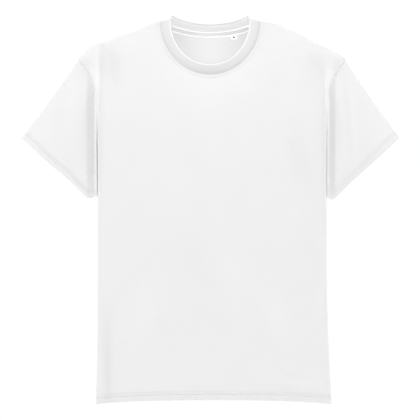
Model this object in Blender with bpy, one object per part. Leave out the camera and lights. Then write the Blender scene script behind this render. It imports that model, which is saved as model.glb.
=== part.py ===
"""A crew neck t-shirt in white cotton jersey, filled out as if it were worn, with nobody in it.

The cloth is cut and sewn as a maker would do it: a front, a back, two short sleeves set into
dropped armholes, a ribbed neckband, a tape over the back neck seam and a small woven tab.
+X is the wearer's left, -Y is the front and +Z is up. The origin lies in the body's middle
plane, level with the points where the shoulder seams meet the neckband. All sizes are in
metres.
"""

import math
from collections import namedtuple

import bmesh
import bpy
import numpy as np
from mathutils import Vector
from mathutils.bvhtree import BVHTree
from mathutils.geometry import delaunay_2d_cdt

# ---------------------------------------------------------------- driving dimensions

CLOTH = 0.0015  # thickness of the jersey wall
HEM_EXTRA = 0.0008  # the turned-up layer inside a hem
HEM_BAND = 0.018  # height of the body's hem and of the sleeve hems
HEM_EASE = 0.002  # over which the hem's layer ends
SEAM_GAP = 0.00044  # open line between two pieces along a seam
MOST_MITRE = 3.2  # how far a wall's inner corner may reach at a sharp seam, in thicknesses
LEAST_CORNER = 0.25  # keeps the gap small where two seams meet at a point

NECK_MIDDLE = -0.0038  # the neck sits this far to the wearer's right
NECK_HALF_WIDTH = 0.094  # from there to where the shoulder seams meet the neckband
NECK_DROP_FRONT = 0.108
NECK_DROP_BACK = 0.0155
SHOULDER_TIP = -0.074  # height of the armhole's top
UNDERARM = -0.238  # height of the armhole's lowest point
ARMHOLE_FRONT = 0.039  # how far the armhole seam swings forward of the side seam
ARMHOLE_BACK = 0.048
HEM_SIDES = -0.729  # height of the hem's edge at the side seams
HEM_FRONT = -0.712  # and at the centre front, where it rides up
HEM_BACK = -0.721

RIB_WIDTH = 0.0208
RIB_THICKNESS = 0.0024
RIB_SWELL = 0.0002  # how far the band's middle stands out
RIB_ROUND = 0.45  # how far down its round top edge reaches, in thicknesses
TAPE_WIDTH = 0.0095
TAPE_THICKNESS = 0.0010
TAPE_START = 0.0014  # below the seam
TAPE_SKIPS = 2  # of the neck seam's points at each end, which the tape stops short of
TAB_WIDTH = 0.010
TAB_HEIGHT = 0.011
TAB_THICKNESS = 0.0006
TAB_PLACE = 0.042  # x of the tab's middle, on the wearer's left of the back neck
TRIM_CLEARANCE = 0.0006

# Level sections of the filled-out body, from the neck down: half widths to the wearer's left
# and right, depths to the front and back, and squareness (2 is an ellipse).
Ring = namedtuple("Ring", "height left right front back square")
RINGS = [
    Ring(0.000, 0.0902, 0.0978, 0.034, 0.046, 2.0),
    Ring(-0.005, 0.1205, 0.1155, 0.042, 0.054, 2.0),
    Ring(-0.016, 0.148, 0.139, 0.052, 0.067, 2.0),
    Ring(-0.026, 0.170, 0.167, 0.060, 0.076, 2.1),
    Ring(-0.040, 0.193, 0.204, 0.069, 0.085, 2.2),
    Ring(-0.047, 0.210, 0.2285, 0.073, 0.089, 2.2),
    Ring(-0.056, 0.2275, 0.2385, 0.077, 0.092, 2.3),
    Ring(-0.074, 0.2545, 0.2545, 0.083, 0.097, 2.4),
    Ring(-0.095, 0.242, 0.242, 0.088, 0.101, 2.7),
    Ring(-0.119, 0.229, 0.228, 0.092, 0.104, 3.2),
    Ring(-0.150, 0.2195, 0.2195, 0.097, 0.107, 3.7),
    Ring(-0.180, 0.2178, 0.2178, 0.101, 0.107, 3.8),
    Ring(-0.238, 0.2176, 0.2174, 0.104, 0.104, 3.5),
    Ring(-0.330, 0.2177, 0.2174, 0.103, 0.098, 3.2),
    Ring(-0.460, 0.2180, 0.2174, 0.099, 0.094, 3.0),
    Ring(-0.580, 0.2205, 0.2178, 0.097, 0.094, 3.0),
    Ring(-0.729, 0.2280, 0.2205, 0.097, 0.096, 3.0),
]

# How the neckband stands on the neck seam: from the seam to its top edge, at each bearing
# round the neck (0 is the centre front, 180 the centre back).
Lean = namedtuple("Lean", "bearing inward_x inward_y up")
RIB_LEANS = [
    Lean(0, 0.0, 0.0030, 0.0205),
    Lean(45, 0.0130, 0.0065, 0.0145),
    Lean(70, 0.0190, 0.0045, 0.0090),
    Lean(90, 0.0205, 0.0005, 0.0040),
    Lean(104, 0.0170, 0.0, 0.0090),
    Lean(118, 0.0100, -0.0020, 0.0180),
    Lean(134, 0.0060, -0.0090, 0.0175),
    Lean(155, 0.0035, -0.0120, 0.0160),
    Lean(180, 0.0, -0.0130, 0.0160),
]

# Lines that run down a sleeve from the armhole seam to its hem. The share is how far round
# the half armhole the line starts; x, y and z are its end on the hem of the left sleeve; the
# bow is how far its middle swings out of the straight line, and early draws the bow upwards.
Guide = namedtuple("Guide", "name side share x y z bow_x bow_y bow_z early")
SLEEVE_GUIDES = [
    Guide("top", "front", 0.00, 0.3570, 0.000, -0.2220, -0.0010, 0.000, -0.0005, 1.0),
    Guide("crown", "front", 0.10, 0.3470, -0.020, -0.2305, -0.0010, -0.006, 0.000, 1.0),
    Guide("face_high", "front", 0.16, 0.3070, -0.037, -0.2670, 0.000, -0.020, 0.000, 0.9),
    Guide("face_low", "front", 0.26, 0.2620, -0.040, -0.3080, 0.000, -0.026, 0.000, 0.8),
    Guide("fold", "front", 0.36, 0.2300, -0.040, -0.3385, 0.005, -0.014, 0.000, 0.7),
    Guide("groove", "front", 0.66, 0.2192, -0.029, -0.3350, 0.0030, -0.006, 0.000, 0.65),
    Guide("under", "front", 1.00, 0.2198, 0.004, -0.3325, 0.0040, 0.000, 0.000, 0.5),
    Guide("back_groove", "back", 0.66, 0.2180, 0.033, -0.3340, 0.0015, 0.004, 0.000, 0.65),
    Guide("back_fold", "back", 0.36, 0.2215, 0.048, -0.3370, 0.001, 0.014, 0.000, 0.7),
    Guide("back_low", "back", 0.26, 0.2580, 0.046, -0.3080, 0.000, 0.022, 0.000, 0.8),
    Guide("back_high", "back", 0.16, 0.3070, 0.036, -0.2670, 0.000, 0.018, 0.000, 0.9),
    Guide("back_crown", "back", 0.10, 0.3470, 0.020, -0.2305, -0.0010, 0.006, 0.000, 1.0),
]
SLEEVE_MERGE = 0.30  # part of the sleeve's length over which it leaves the armhole's own curve
RIGHT_SLEEVE_REACH = 0.0055  # the right sleeve's hem lies this much further out
RIGHT_SLEEVE_RISE = 0.0030  # and its inner corner this much higher
HUGGING = ("under", "groove", "back_groove", "back_fold")  # lines that keep to the body's side
INNER_CORNER = HUGGING + ("fold", "face_low", "back_low")

# Soft folds of the body, from x, z to x, z on the front or back; a ridge stands out of the
# cloth and a trough, with a depth below 0, lies in it.
Fold = namedtuple("Fold", "panel x z end_x end_z width depth")
FOLDS = [
    Fold("front", -0.208, -0.075, -0.200, -0.150, 0.013, 0.0030),
    Fold("front", -0.186, -0.055, -0.182, -0.135, 0.018, -0.0045),
    Fold("front", 0.190, -0.055, 0.196, -0.120, 0.020, -0.0025),
    Fold("front", -0.197, -0.560, -0.193, -0.735, 0.014, -0.0045),
    Fold("front", -0.150, -0.620, -0.110, -0.510, 0.026, 0.0025),
    Fold("front", 0.095, -0.510, 0.145, -0.610, 0.026, 0.0025),
    Fold("front", 0.150, -0.230, 0.180, -0.320, 0.022, -0.0025),
    Fold("back", -0.185, -0.070, -0.178, -0.160, 0.020, -0.0040),
    Fold("back", 0.183, -0.060, 0.180, -0.170, 0.022, -0.0040),
    Fold("back", -0.070, -0.300, -0.100, -0.520, 0.034, -0.0040),
    Fold("back", 0.080, -0.340, 0.115, -0.580, 0.036, -0.0040),
    Fold("back", 0.010, -0.450, -0.010, -0.690, 0.032, 0.0030),
]

# Spacing of the mesh: bands of the body from a height upwards, and of the distance from the
# centre line outwards, each with its own step.
Band = namedtuple("Band", "start step")
ROW_BANDS = [Band(-0.700, 0.040), Band(-0.300, 0.024), Band(-0.160, 0.016), Band(-0.060, 0.012)]
COLUMN_BANDS = [Band(0.0, 0.030), Band(0.150, 0.020), Band(0.190, 0.014)]
SIDE_STEPS = 13
HEM_STEPS = 25
SHOULDER_STEPS = 9
NECK_STEPS = {"front": 24, "back": 18}
ARMHOLE_STEPS = 12
SLEEVE_ROWS = 8
HEM_CLEARANCE = 0.010  # how far above the hem's layer the mesh's own rows start
SEAM_CALM = 22  # bearings this near a side or shoulder seam hold no full fold
FOLD_END = 0.12  # part of a fold's rise and fall that lies past each of its ends
LEAST_SPACE = 0.45  # a mesh point keeps this share of the step away from the panel's edge

WHITE = (0.90, 0.90, 0.895, 1.0)
TAB_WHITE = (0.95, 0.95, 0.95, 1.0)

FINE = 241  # points on the curves that seams are spaced along
SLEEVE_FINE = 61  # points along each line of a sleeve before it is spaced
GUIDE_POINTS = 16  # points on a sleeve's ring from one guide to the next
TINY = 0.0005  # a short way along the form, to find its normals
TINY_TURN = 0.1  # and round it, in degrees
MOST_SWEEPS = 8  # over the mesh's diagonals
TURN_GAIN = 0.01  # how much closer to the form a turned diagonal has to lie
REACH = 0.05  # how far off the back's inner face is looked for
SHARP_ANGLE = 50  # degrees, past which an edge isn't shaded smooth

Patch = namedtuple("Patch", "points faces edges flat")


# ---------------------------------------------------------------- curves and sections


def smooth_through(places, values, wanted):
    """A smooth curve through the table's values that never swings past them."""
    places, values = np.asarray(places, float), np.asarray(values, float)
    steps = np.diff(places)
    slopes = np.diff(values) / steps
    tangents = np.zeros(len(places))
    tangents[0], tangents[-1] = slopes[0], slopes[-1]
    for i in range(1, len(places) - 1):
        if slopes[i - 1] * slopes[i] > 0:
            near, far = 2 * steps[i] + steps[i - 1], steps[i] + 2 * steps[i - 1]
            tangents[i] = (near + far) / (near / slopes[i - 1] + far / slopes[i])
    wanted = np.clip(wanted, places[0], places[-1])
    i = np.clip(np.searchsorted(places, wanted) - 1, 0, len(steps) - 1)
    s = (wanted - places[i]) / steps[i]
    start = values[i] * (1 + 2 * s) * (1 - s) ** 2 + tangents[i] * steps[i] * s * (1 - s) ** 2
    end = values[i + 1] * s * s * (3 - 2 * s) + tangents[i + 1] * steps[i] * s * s * (s - 1)
    return start + end


def unit(vectors):
    return vectors / np.maximum(np.linalg.norm(vectors, axis=-1, keepdims=True), 1e-12)


RINGS_UPWARDS = RINGS[::-1]


def ring_size(column, height):
    """One column of the ring table at any heights."""
    heights = [ring.height for ring in RINGS_UPWARDS]
    return smooth_through(heights, [getattr(ring, column) for ring in RINGS_UPWARDS], height)


def form(panel, bearing, height):
    """Points on the outside of the body. On both panels a bearing of 0 is the centre line
    and of 90 degrees the wearer's left side."""
    bearing, height = np.broadcast_arrays(np.radians(bearing), height)
    across, along = np.sin(bearing), np.cos(bearing)
    square = ring_size("square", height)
    reach = (np.abs(across) ** square + np.abs(along) ** square) ** (-1 / square)
    half = np.where(across >= 0, ring_size("left", height), ring_size("right", height))
    depth = ring_size(panel, height) * (-1 if panel == "front" else 1)
    return np.stack([half * reach * across, depth * reach * along, height], axis=-1)


def bearing_of_x(panel, x, height):
    """The bearing of the form's point at this x and height."""
    half = np.where(x >= 0, ring_size("left", height), ring_size("right", height))
    share = np.clip(np.abs(x) / half, 0, 1)
    square = ring_size("square", height)
    along = np.clip(1 - share**square, 0, 1) ** (1 / square)
    return np.degrees(np.arctan2(share * np.sign(x), along))


def bearing_of_depth(panel, depth, height):
    """The bearing, on the wearer's left, of the point this far before or behind the side."""
    share = np.clip(depth / ring_size(panel, height), 0, 1)
    square = ring_size("square", height)
    across = np.clip(1 - share**square, 0, 1) ** (1 / square)
    return np.degrees(np.arctan2(across, share))


# A panel is laid out flat by the cloth's own measure: how far a point lies from the centre
# line round its level section, positive to the wearer's left, and its height.


def ring_runs(panel, side, height):
    """Cloth from the centre line to each of the fine bearings, at every height."""
    bearings = np.linspace(0, 90, FINE)
    points = form(panel, side[:, None] * bearings, height[:, None])
    steps = np.linalg.norm(np.diff(points, axis=1), axis=-1)
    start = np.zeros((len(height), 1))
    return bearings, np.concatenate([start, np.cumsum(steps, axis=1)], axis=1)


def across_of_bearing(panel, bearing, height):
    """The flat distance from the centre line of points given by bearing."""
    side = np.where(bearing < 0, -1.0, 1.0)
    bearings, runs = ring_runs(panel, side, height)
    place = np.abs(bearing) / 90 * (FINE - 1)
    low = np.clip(place.astype(int), 0, FINE - 2)
    rows = np.arange(len(height))
    run = runs[rows, low] + (place - low) * (runs[rows, low + 1] - runs[rows, low])
    return run * side


def bearing_of_across(panel, across, height):
    """The bearing of points given by their flat distance from the centre line."""
    side = np.where(across < 0, -1.0, 1.0)
    bearings, runs = ring_runs(panel, side, height)
    size = np.clip(np.abs(across), 0, runs[:, -1])
    low = np.clip((runs < size[:, None]).sum(axis=1) - 1, 0, FINE - 2)
    rows = np.arange(len(height))
    share = (size - runs[rows, low]) / (runs[rows, low + 1] - runs[rows, low])
    return side * (bearings[low] + share * (bearings[1] - bearings[0]))


def run_shares(points):
    """How far along a line of points each one lies, as a share of the line's length."""
    lengths = np.concatenate([[0], np.cumsum(np.linalg.norm(np.diff(points, axis=0), axis=1))])
    return lengths / lengths[-1]


def at_shares(line, shares, wanted):
    """Values read along a line at the wanted shares of its length."""
    return np.stack([np.interp(wanted, shares, column) for column in line.T], axis=-1)


def spaced(panel, line, count):
    """A line on a panel, given by bearings and heights, at points equally far apart."""
    shares = run_shares(form(panel, line[:, 0], line[:, 1]))
    return at_shares(line, shares, np.linspace(0, 1, count + 1))


def hem_height(panel, bearing):
    """The hem's edge rides up smoothly from the side seams to the centre."""
    middle = HEM_FRONT if panel == "front" else HEM_BACK
    return middle + (HEM_SIDES - middle) * np.abs(np.sin(np.radians(bearing))) ** 3


def straight(start, end):
    """A straight line of bearings and heights."""
    return np.linspace(start, end, FINE)


def neckline(panel):
    """Bearings and heights along the neck seam, from the wearer's left to the right."""
    turn = np.linspace(math.pi / 2, -math.pi / 2, FINE)
    x = NECK_MIDDLE + NECK_HALF_WIDTH * np.sin(turn)
    if panel == "front":
        drop = NECK_DROP_FRONT * np.cos(turn)
    else:
        drop = NECK_DROP_BACK * np.cos(turn) ** 2
    return np.stack([bearing_of_x(panel, x, -drop), -drop], axis=-1)


def armhole(panel):
    """Bearings and heights down the left armhole, from the shoulder tip to the underarm."""
    turn = np.linspace(0, math.pi, FINE)
    middle, reach = (SHOULDER_TIP + UNDERARM) / 2, (SHOULDER_TIP - UNDERARM) / 2
    height = middle + reach * np.cos(turn)
    depth = (ARMHOLE_FRONT if panel == "front" else ARMHOLE_BACK) * np.sin(turn)
    return np.stack([bearing_of_depth(panel, depth, height), height], axis=-1)


# ---------------------------------------------------------------- the body's two panels


def panel_edges(panel):
    """The panel's edges in turn round it, from the hem's right end, as bearings and heights."""
    bearings = np.linspace(-90, 90, FINE)
    hem = np.stack([bearings, hem_height(panel, bearings)], axis=-1)
    band_top = HEM_SIDES + HEM_BAND
    side = spaced(panel, straight((90, band_top + HEM_EASE), (90, UNDERARM)), SIDE_STEPS)
    side = np.concatenate([[(90, HEM_SIDES), (90, band_top)], side])
    hole = spaced(panel, armhole(panel), ARMHOLE_STEPS)
    shoulder = spaced(panel, straight((90, SHOULDER_TIP), (90, 0)), SHOULDER_STEPS)
    mirror = np.array([-1, 1])
    return {
        "hem": spaced(panel, hem, HEM_STEPS),
        "side_left": side,
        "armhole_left": hole[::-1],
        "shoulder_left": shoulder,
        "neck": spaced(panel, neckline(panel), NECK_STEPS[panel]),
        "shoulder_right": shoulder[::-1] * mirror,
        "armhole_right": hole * mirror,
        "side_right": side[::-1] * mirror,
    }


def banded(bands, end):
    """Values from the bands' steps, up to the end."""
    values = []
    for band, next_band in zip(bands, bands[1:] + [Band(end, 0)]):
        count = max(1, round((next_band.start - band.start) / band.step))
        values.extend(np.linspace(band.start, next_band.start, count, endpoint=False))
    return np.array(values)


def band_step(bands, sizes):
    """The step of the band that each size lies in."""
    band = np.searchsorted([band.start for band in bands], sizes, side="right") - 1
    return np.array([band.step for band in bands])[np.maximum(band, 0)]


def edge_distance(places, outline):
    """How far each flat place lies from the outline, and whether it is inside."""
    start, end = outline, np.roll(outline, -1, axis=0)
    run = end - start
    offset = places[:, None] - start[None]
    along = np.clip((offset * run).sum(-1) / (run * run).sum(-1), 0, 1)
    distance = np.linalg.norm(offset - along[..., None] * run, axis=-1).min(axis=1)
    y, y_next = start[:, 1][None], end[:, 1][None]
    crosses = (y <= places[:, 1:]) != (y_next <= places[:, 1:])
    at = start[:, 0] + (places[:, 1:] - y) * run[:, 0] / np.where(run[:, 1] == 0, 1, run[:, 1])
    inside = (crosses & (places[:, :1] < at)).sum(axis=1) % 2 == 1
    return distance, inside


def lattice(panel, outline):
    """Flat places inside a panel: level rows and upright columns, closer where it curves."""
    widest = np.abs(outline[:, 0]).max()
    right_half = banded(COLUMN_BANDS, widest)
    columns = np.concatenate([-right_half[:0:-1], right_half])
    rows = banded(ROW_BANDS, 0.0)
    across, height = np.meshgrid(columns, rows)
    places = np.stack([across.ravel(), height.ravel()], axis=-1)
    steps = np.minimum(
        band_step(COLUMN_BANDS, np.abs(places[:, 0])), band_step(ROW_BANDS, places[:, 1])
    )
    distance, inside = edge_distance(places, outline)
    above_hem = places[:, 1] - hem_height(panel, chart_of_flat(panel, places)[:, 0]) - HEM_BAND
    clear = (distance > LEAST_SPACE * steps) & (above_hem > HEM_EASE + HEM_CLEARANCE)
    return places[inside & clear]


def flat_of_chart(panel, chart):
    """Flat places of points given by bearing and height."""
    return np.stack([across_of_bearing(panel, *chart.T), chart[:, 1]], axis=-1)


def chart_of_flat(panel, flat):
    """Bearings and heights of flat places."""
    return np.stack([bearing_of_across(panel, *flat.T), flat[:, 1]], axis=-1)


def triangles(flat, edge_count):
    """Triangles between flat places, the first of which are the outline."""
    ring = [(i, (i + 1) % edge_count) for i in range(edge_count)]
    made = delaunay_2d_cdt([Vector(place) for place in flat], ring, [], 1, 1e-7)
    order = [sources[0] for sources in made[3]]
    return [tuple(order[i] for i in face) for face in made[2]]


def panel_patch(panel):
    """A panel's outer points and faces, with the places of its named edges in the points."""
    edges = panel_edges(panel)
    places_of, count = {}, 0
    for name, edge in edges.items():
        places_of[name] = np.arange(count, count + len(edge))
        count += len(edge) - 1
    for places in places_of.values():
        places[places == count] = 0
    outline = np.concatenate([edge[:-1] for edge in edges.values()])
    hem_rows = [edges["hem"][1:-1] + (0, lift) for lift in (HEM_BAND, HEM_BAND + HEM_EASE)]
    inner = chart_of_flat(panel, lattice(panel, flat_of_chart(panel, outline)))
    chart = np.concatenate([outline] + hem_rows + [inner])
    flat = flat_of_chart(panel, chart)
    faces = triangles(flat, count)
    points = form(panel, chart[:, 0], chart[:, 1])
    faces = facing_out(points, faces, points * (1, 1, 0))
    faces = laid_along(faces, points, form_normals(panel, chart))
    share = np.clip((90 - np.abs(chart[:, 0])) / SEAM_CALM, 0, 1)
    rise = fold_rise(panel, points) * share * share * (3 - 2 * share)
    points = points + patch_normals(points, faces) * rise[:, None]
    return Patch(points, faces, places_of, flat)


def form_normals(panel, chart):
    """Outward normals of the form, square to its level sections and its upright lines."""
    low = np.minimum(chart[:, 1], -TINY)
    ahead, behind = (form(panel, chart[:, 0] + turn, low) for turn in (TINY_TURN, -TINY_TURN))
    upright = form(panel, chart[:, 0], low + TINY) - form(panel, chart[:, 0], low - TINY)
    normals = unit(np.cross(ahead - behind, upright))
    return normals if panel == "front" else -normals


def laid_along(faces, points, normals):
    """The triangles with a diagonal turned wherever that lays them closer along the form."""

    def fit(face):
        a, b, c = points[list(face)]
        return unit(np.cross(b - a, c - a)) @ unit(normals[list(face)].sum(axis=0))

    faces = list(faces)
    for sweep in range(MOST_SWEEPS):
        owner = {(a, b): i for i, face in enumerate(faces) for a, b in zip(face, face[1:] + face[:1])}
        turned = set()
        for (a, b), i in owner.items():
            j = owner.get((b, a))
            if j is None or i > j or turned & {i, j}:
                continue
            c = next(corner for corner in faces[i] if corner not in (a, b))
            d = next(corner for corner in faces[j] if corner not in (a, b))
            new = ((a, d, c), (d, b, c))
            if (c, d) in owner or (d, c) in owner:
                continue
            if min(map(fit, new)) > min(fit(faces[i]), fit(faces[j])) + TURN_GAIN:
                faces[i], faces[j] = new
                turned |= {i, j}
        if not turned:
            break
    return faces


def fold_rise(panel, points):
    """How far the folds lift the cloth at each point."""
    rise = np.zeros(points.shape[:-1])
    for fold in (fold for fold in FOLDS if fold.panel == panel):
        start, end = np.array([fold.x, fold.z]), np.array([fold.end_x, fold.end_z])
        run = end - start
        place = points[..., [0, 2]] - start
        along = np.clip(place @ run / (run @ run), 0, 1)
        off = np.linalg.norm(place - along[..., None] * run, axis=-1)
        taper = np.sin(math.pi * (FOLD_END + (1 - 2 * FOLD_END) * along))
        rise += fold.depth * taper * np.exp(-((off / fold.width) ** 2))
    return rise


# ---------------------------------------------------------------- the sleeves


def through_ring(guides, count):
    """A closed smooth curve through the guide points, which are (rows, guides, 3)."""
    before, after = np.roll(guides, 1, axis=1), np.roll(guides, -1, axis=1)
    further = np.roll(guides, -2, axis=1)
    s = np.linspace(0, 1, count, endpoint=False)[None, None, :, None]
    a, b, c, d = (g[:, :, None] for g in (before, guides, after, further))
    curve = 0.5 * (
        2 * b + (c - a) * s + (2 * a - 5 * b + 4 * c - d) * s**2 + (3 * b - a - 3 * c + d) * s**3
    )
    return curve.reshape(len(guides), -1, 3)


def along_line(points, wanted):
    """Points at the wanted shares of a line's length."""
    return at_shares(points, run_shares(points), wanted)


def halves(ring, split, shares):
    """A closed curve spaced afresh: top to underarm by the front, then back up behind."""
    front = along_line(ring[: split + 1], shares)
    back = along_line(np.concatenate([ring[split:], ring[:1]]), shares)
    return np.concatenate([front, back[1:-1]])


def sleeve_rings(hole, side):
    """Closed rings from the armhole's points, hole, out to the hem. A ring starts at the top
    and runs down the front to the underarm and up the back."""
    split = GUIDE_POINTS * [guide.name for guide in SLEEVE_GUIDES].index("under")
    half = len(hole) // 2
    down = {"front": hole[: half + 1], "back": np.concatenate([hole[half:], hole[:1]])[::-1]}
    t = np.linspace(0, 1, SLEEVE_FINE)[:, None]
    lines = []
    for guide in SLEEVE_GUIDES:
        start = along_line(down[guide.side], np.array([guide.share]))[0]
        end = np.array([side * guide.x, guide.y, guide.z])
        if side < 0 and guide.name not in HUGGING:
            end[0] -= RIGHT_SLEEVE_REACH
        if side < 0 and guide.name in INNER_CORNER:
            end[2] += RIGHT_SLEEVE_RISE
        bow = np.array([side * guide.bow_x, guide.bow_y, guide.bow_z])
        lines.append(start + (end - start) * t + bow * np.sin(math.pi * t**guide.early))
    rings = through_ring(np.stack(lines, axis=1), GUIDE_POINTS)
    rings = np.stack([halves(ring, split, np.linspace(0, 1, half + 1)) for ring in rings])
    rings += (hole - rings[0]) * (np.clip(1 - t / SLEEVE_MERGE, 0, 1) ** 2)[..., None]
    rings[0] = hole
    return rings


def sleeve_patch(hole, side):
    """A sleeve's outer points and faces. The last rows are the hem's turned-up band."""
    lines = np.moveaxis(sleeve_rings(hole, side), 1, 0)
    columns = []
    for line in lines:
        length = np.linalg.norm(np.diff(line, axis=0), axis=1).sum()
        rows = np.linspace(0, 1 - (HEM_BAND + HEM_EASE) / length, SLEEVE_ROWS + 1)
        columns.append(along_line(line, np.concatenate([rows, [1 - HEM_BAND / length, 1]])))
    grid = np.stack(columns, axis=1)
    rows, around = grid.shape[:2]
    points = grid.reshape(-1, 3)
    faces = grid_faces(rows, around, wraps=True)
    middle = grid.mean(axis=1, keepdims=True)
    faces = facing_out(points, faces, (grid - middle).reshape(-1, 3))
    places = {"armhole": np.arange(around), "hem": np.arange(around) + (rows - 1) * around}
    return Patch(points, faces, places, None)


# ---------------------------------------------------------------- walls from outer points


def grid_faces(rows, columns, wraps=False):
    """Four-sided faces of a grid of points; one that wraps joins its last column to the first."""
    wide = columns if wraps else columns - 1
    faces = []
    for row in range(rows - 1):
        for column in range(wide):
            ahead = (column + 1) % columns
            corners = ((row, column), (row, ahead), (row + 1, ahead), (row + 1, column))
            faces.append(tuple(r * columns + c for r, c in corners))
    return faces


def face_areas(points, faces):
    """Each face's normal, as long as twice its area."""
    normals = []
    for face in faces:
        a, b, c, d = (points[face[k]] for k in (0, 1, 2, -1))
        normals.append(np.cross(c - a, d - b) if len(face) == 4 else np.cross(b - a, c - a))
    return np.array(normals)


def facing_out(points, faces, outwards):
    """The faces turned so that they agree with a rough outward direction at the points."""
    rough = np.array([outwards[list(face)].mean(axis=0) for face in faces])
    agrees = (face_areas(points, faces) * rough).sum() > 0
    return faces if agrees else [face[::-1] for face in faces]


def patch_normals(points, faces):
    """Normals at a patch's points, from the faces around each."""
    total = np.zeros(points.shape)
    for face, normal in zip(faces, face_areas(points, faces)):
        for corner in face:
            total[corner] += normal
    return unit(total)


def rim_steps(faces):
    """The patch's open edges as (from, to), in the order that its faces turn."""
    sides = {(a, b) for face in faces for a, b in zip(face, face[1:] + face[:1])}
    return [(a, b) for a, b in sides if (b, a) not in sides]


def point_key(point):
    return tuple(int(round(value)) for value in point / 1e-6)


def corner_angles(points, faces):
    """How much of the turn round each point its faces fill."""
    angles = np.zeros(len(points))
    for face in faces:
        for before, corner, after in zip(face[-1:] + face[:-1], face, face[1:] + face[:1]):
            a, b = unit(points[before] - points[corner]), unit(points[after] - points[corner])
            angles[corner] += math.acos(min(1, max(-1, a @ b)))
    return angles


def shared_directions(patches, normals):
    """At the points that pieces share along a seam, the mean of their normals, in which a
    piece counts as much as it fills of the turn round the point."""
    totals = {}
    for name, patch in patches.items():
        angles = corner_angles(patch.points, patch.faces)
        for place in sorted({a for a, b in rim_steps(patch.faces)}):
            key = point_key(patch.points[place])
            totals[key] = totals.get(key, 0) + normals[name][place] * angles[place]
    return {key: unit(total) for key, total in totals.items()}


def seam_shift(direction, inwards, sewn_steps):
    """A move off the seams at a point, square to each seam step and to the shared direction."""
    squares = []
    for step in sewn_steps:
        away = inwards - (inwards @ step) * step
        squares.append(unit(away - (away @ direction) * direction))
    if not squares:
        return np.zeros(3)
    total = sum(squares) / len(squares)
    return total / max(total @ total, LEAST_CORNER) * SEAM_GAP / 2


def wall_points(patch, normals, thickness, shared, free):
    """Outer and inner points of a cloth wall, mitred and parted along its sewn edges. The
    free points lie on a hem."""
    outer, inner = patch.points.copy(), patch.points - normals * thickness[:, None]
    steps = rim_steps(patch.faces)
    around = {}
    for face in patch.faces:
        centre = patch.points[list(face)].mean(axis=0)
        for corner in face:
            around.setdefault(corner, []).append(centre)
    meeting = {}
    for a, b in steps:
        step = None if a in free and b in free else unit(patch.points[b] - patch.points[a])
        meeting.setdefault(a, []).append(step)
        meeting.setdefault(b, []).append(step)
    for place, met in meeting.items():
        point = patch.points[place]
        direction = shared[point_key(point)]
        lean = max(float(direction @ normals[place]), 1 / MOST_MITRE)
        inwards = np.mean(around[place], axis=0) - point
        shift = seam_shift(direction, inwards, [step for step in met if step is not None])
        outer[place] = point + shift
        inner[place] = point + shift - direction * thickness[place] / lean
    return outer, inner


def add_object(name, points, faces, colour=None, roughness=0.9):
    """One closed body with its faces pointing out and a material of its own."""
    mesh = bpy.data.meshes.new(name)
    mesh.from_pydata([tuple(point) for point in points], [], faces)
    working = bmesh.new()
    working.from_mesh(mesh)
    if working.calc_volume(signed=True) < 0:
        bmesh.ops.reverse_faces(working, faces=working.faces)
    working.to_mesh(mesh)
    working.free()
    mesh.shade_smooth()
    mesh.set_sharp_from_angle(angle=math.radians(SHARP_ANGLE))
    material = bpy.data.materials.new(name + "_cloth")
    material.use_nodes = True
    shader = material.node_tree.nodes["Principled BSDF"]
    shader.inputs["Base Color"].default_value = colour or WHITE
    shader.inputs["Roughness"].default_value = roughness
    shader.inputs["Metallic"].default_value = 0.0
    mesh.materials.append(material)
    piece = bpy.data.objects.new(name, mesh)
    bpy.context.scene.collection.objects.link(piece)


def add_wall(name, faces, outer, inner, **finish):
    """A wall between a patch's outer and inner points, closed round its open edges."""
    count = len(outer)
    walls = list(faces) + [tuple(corner + count for corner in reversed(face)) for face in faces]
    walls += [(b, a, a + count, b + count) for a, b in rim_steps(faces)]
    add_object(name, np.concatenate([outer, inner]), walls, **finish)


# ---------------------------------------------------------------- neckband, tape and tab


def rib_leans(ring, front_count):
    """From each point of the neck seam to the neckband's top edge."""
    share = np.clip((ring[:, 0] - NECK_MIDDLE) / NECK_HALF_WIDTH, -1, 1)
    fore = np.where(np.arange(len(ring)) < front_count, 1, -1)
    bearing = np.degrees(np.arctan2(np.abs(share), fore * np.sqrt(1 - share**2)))
    places = [lean.bearing for lean in RIB_LEANS]
    x, y, z = (
        smooth_through(places, [getattr(lean, name) for lean in RIB_LEANS], bearing)
        for name in ("inward_x", "inward_y", "up")
    )
    return unit(np.stack([-np.sign(share) * x, y, z], axis=-1)) * RIB_WIDTH


def neck_ring(patches):
    """The neck seam's points once round, from the left shoulder by the front and back."""
    fore = patches["front"].points[patches["front"].edges["neck"]]
    aft = patches["back"].points[patches["back"].edges["neck"]][::-1]
    return np.concatenate([fore, aft[1:-1]]), len(fore)


def rib_patch(patches):
    """The neckband's outer face: the seam, its middle and its top edge."""
    ring, front_count = neck_ring(patches)
    lean = rib_leans(ring, front_count)
    points = np.concatenate([ring, ring + lean * 0.5, ring + lean])
    count = len(ring)
    faces = grid_faces(3, count, wraps=True)
    outwards = np.tile(ring * (1, 1, 0), (3, 1)) + (0, 0, NECK_HALF_WIDTH / 2)
    return Patch(points, facing_out(points, faces, outwards), {"neck": np.arange(count)}, None)


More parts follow.
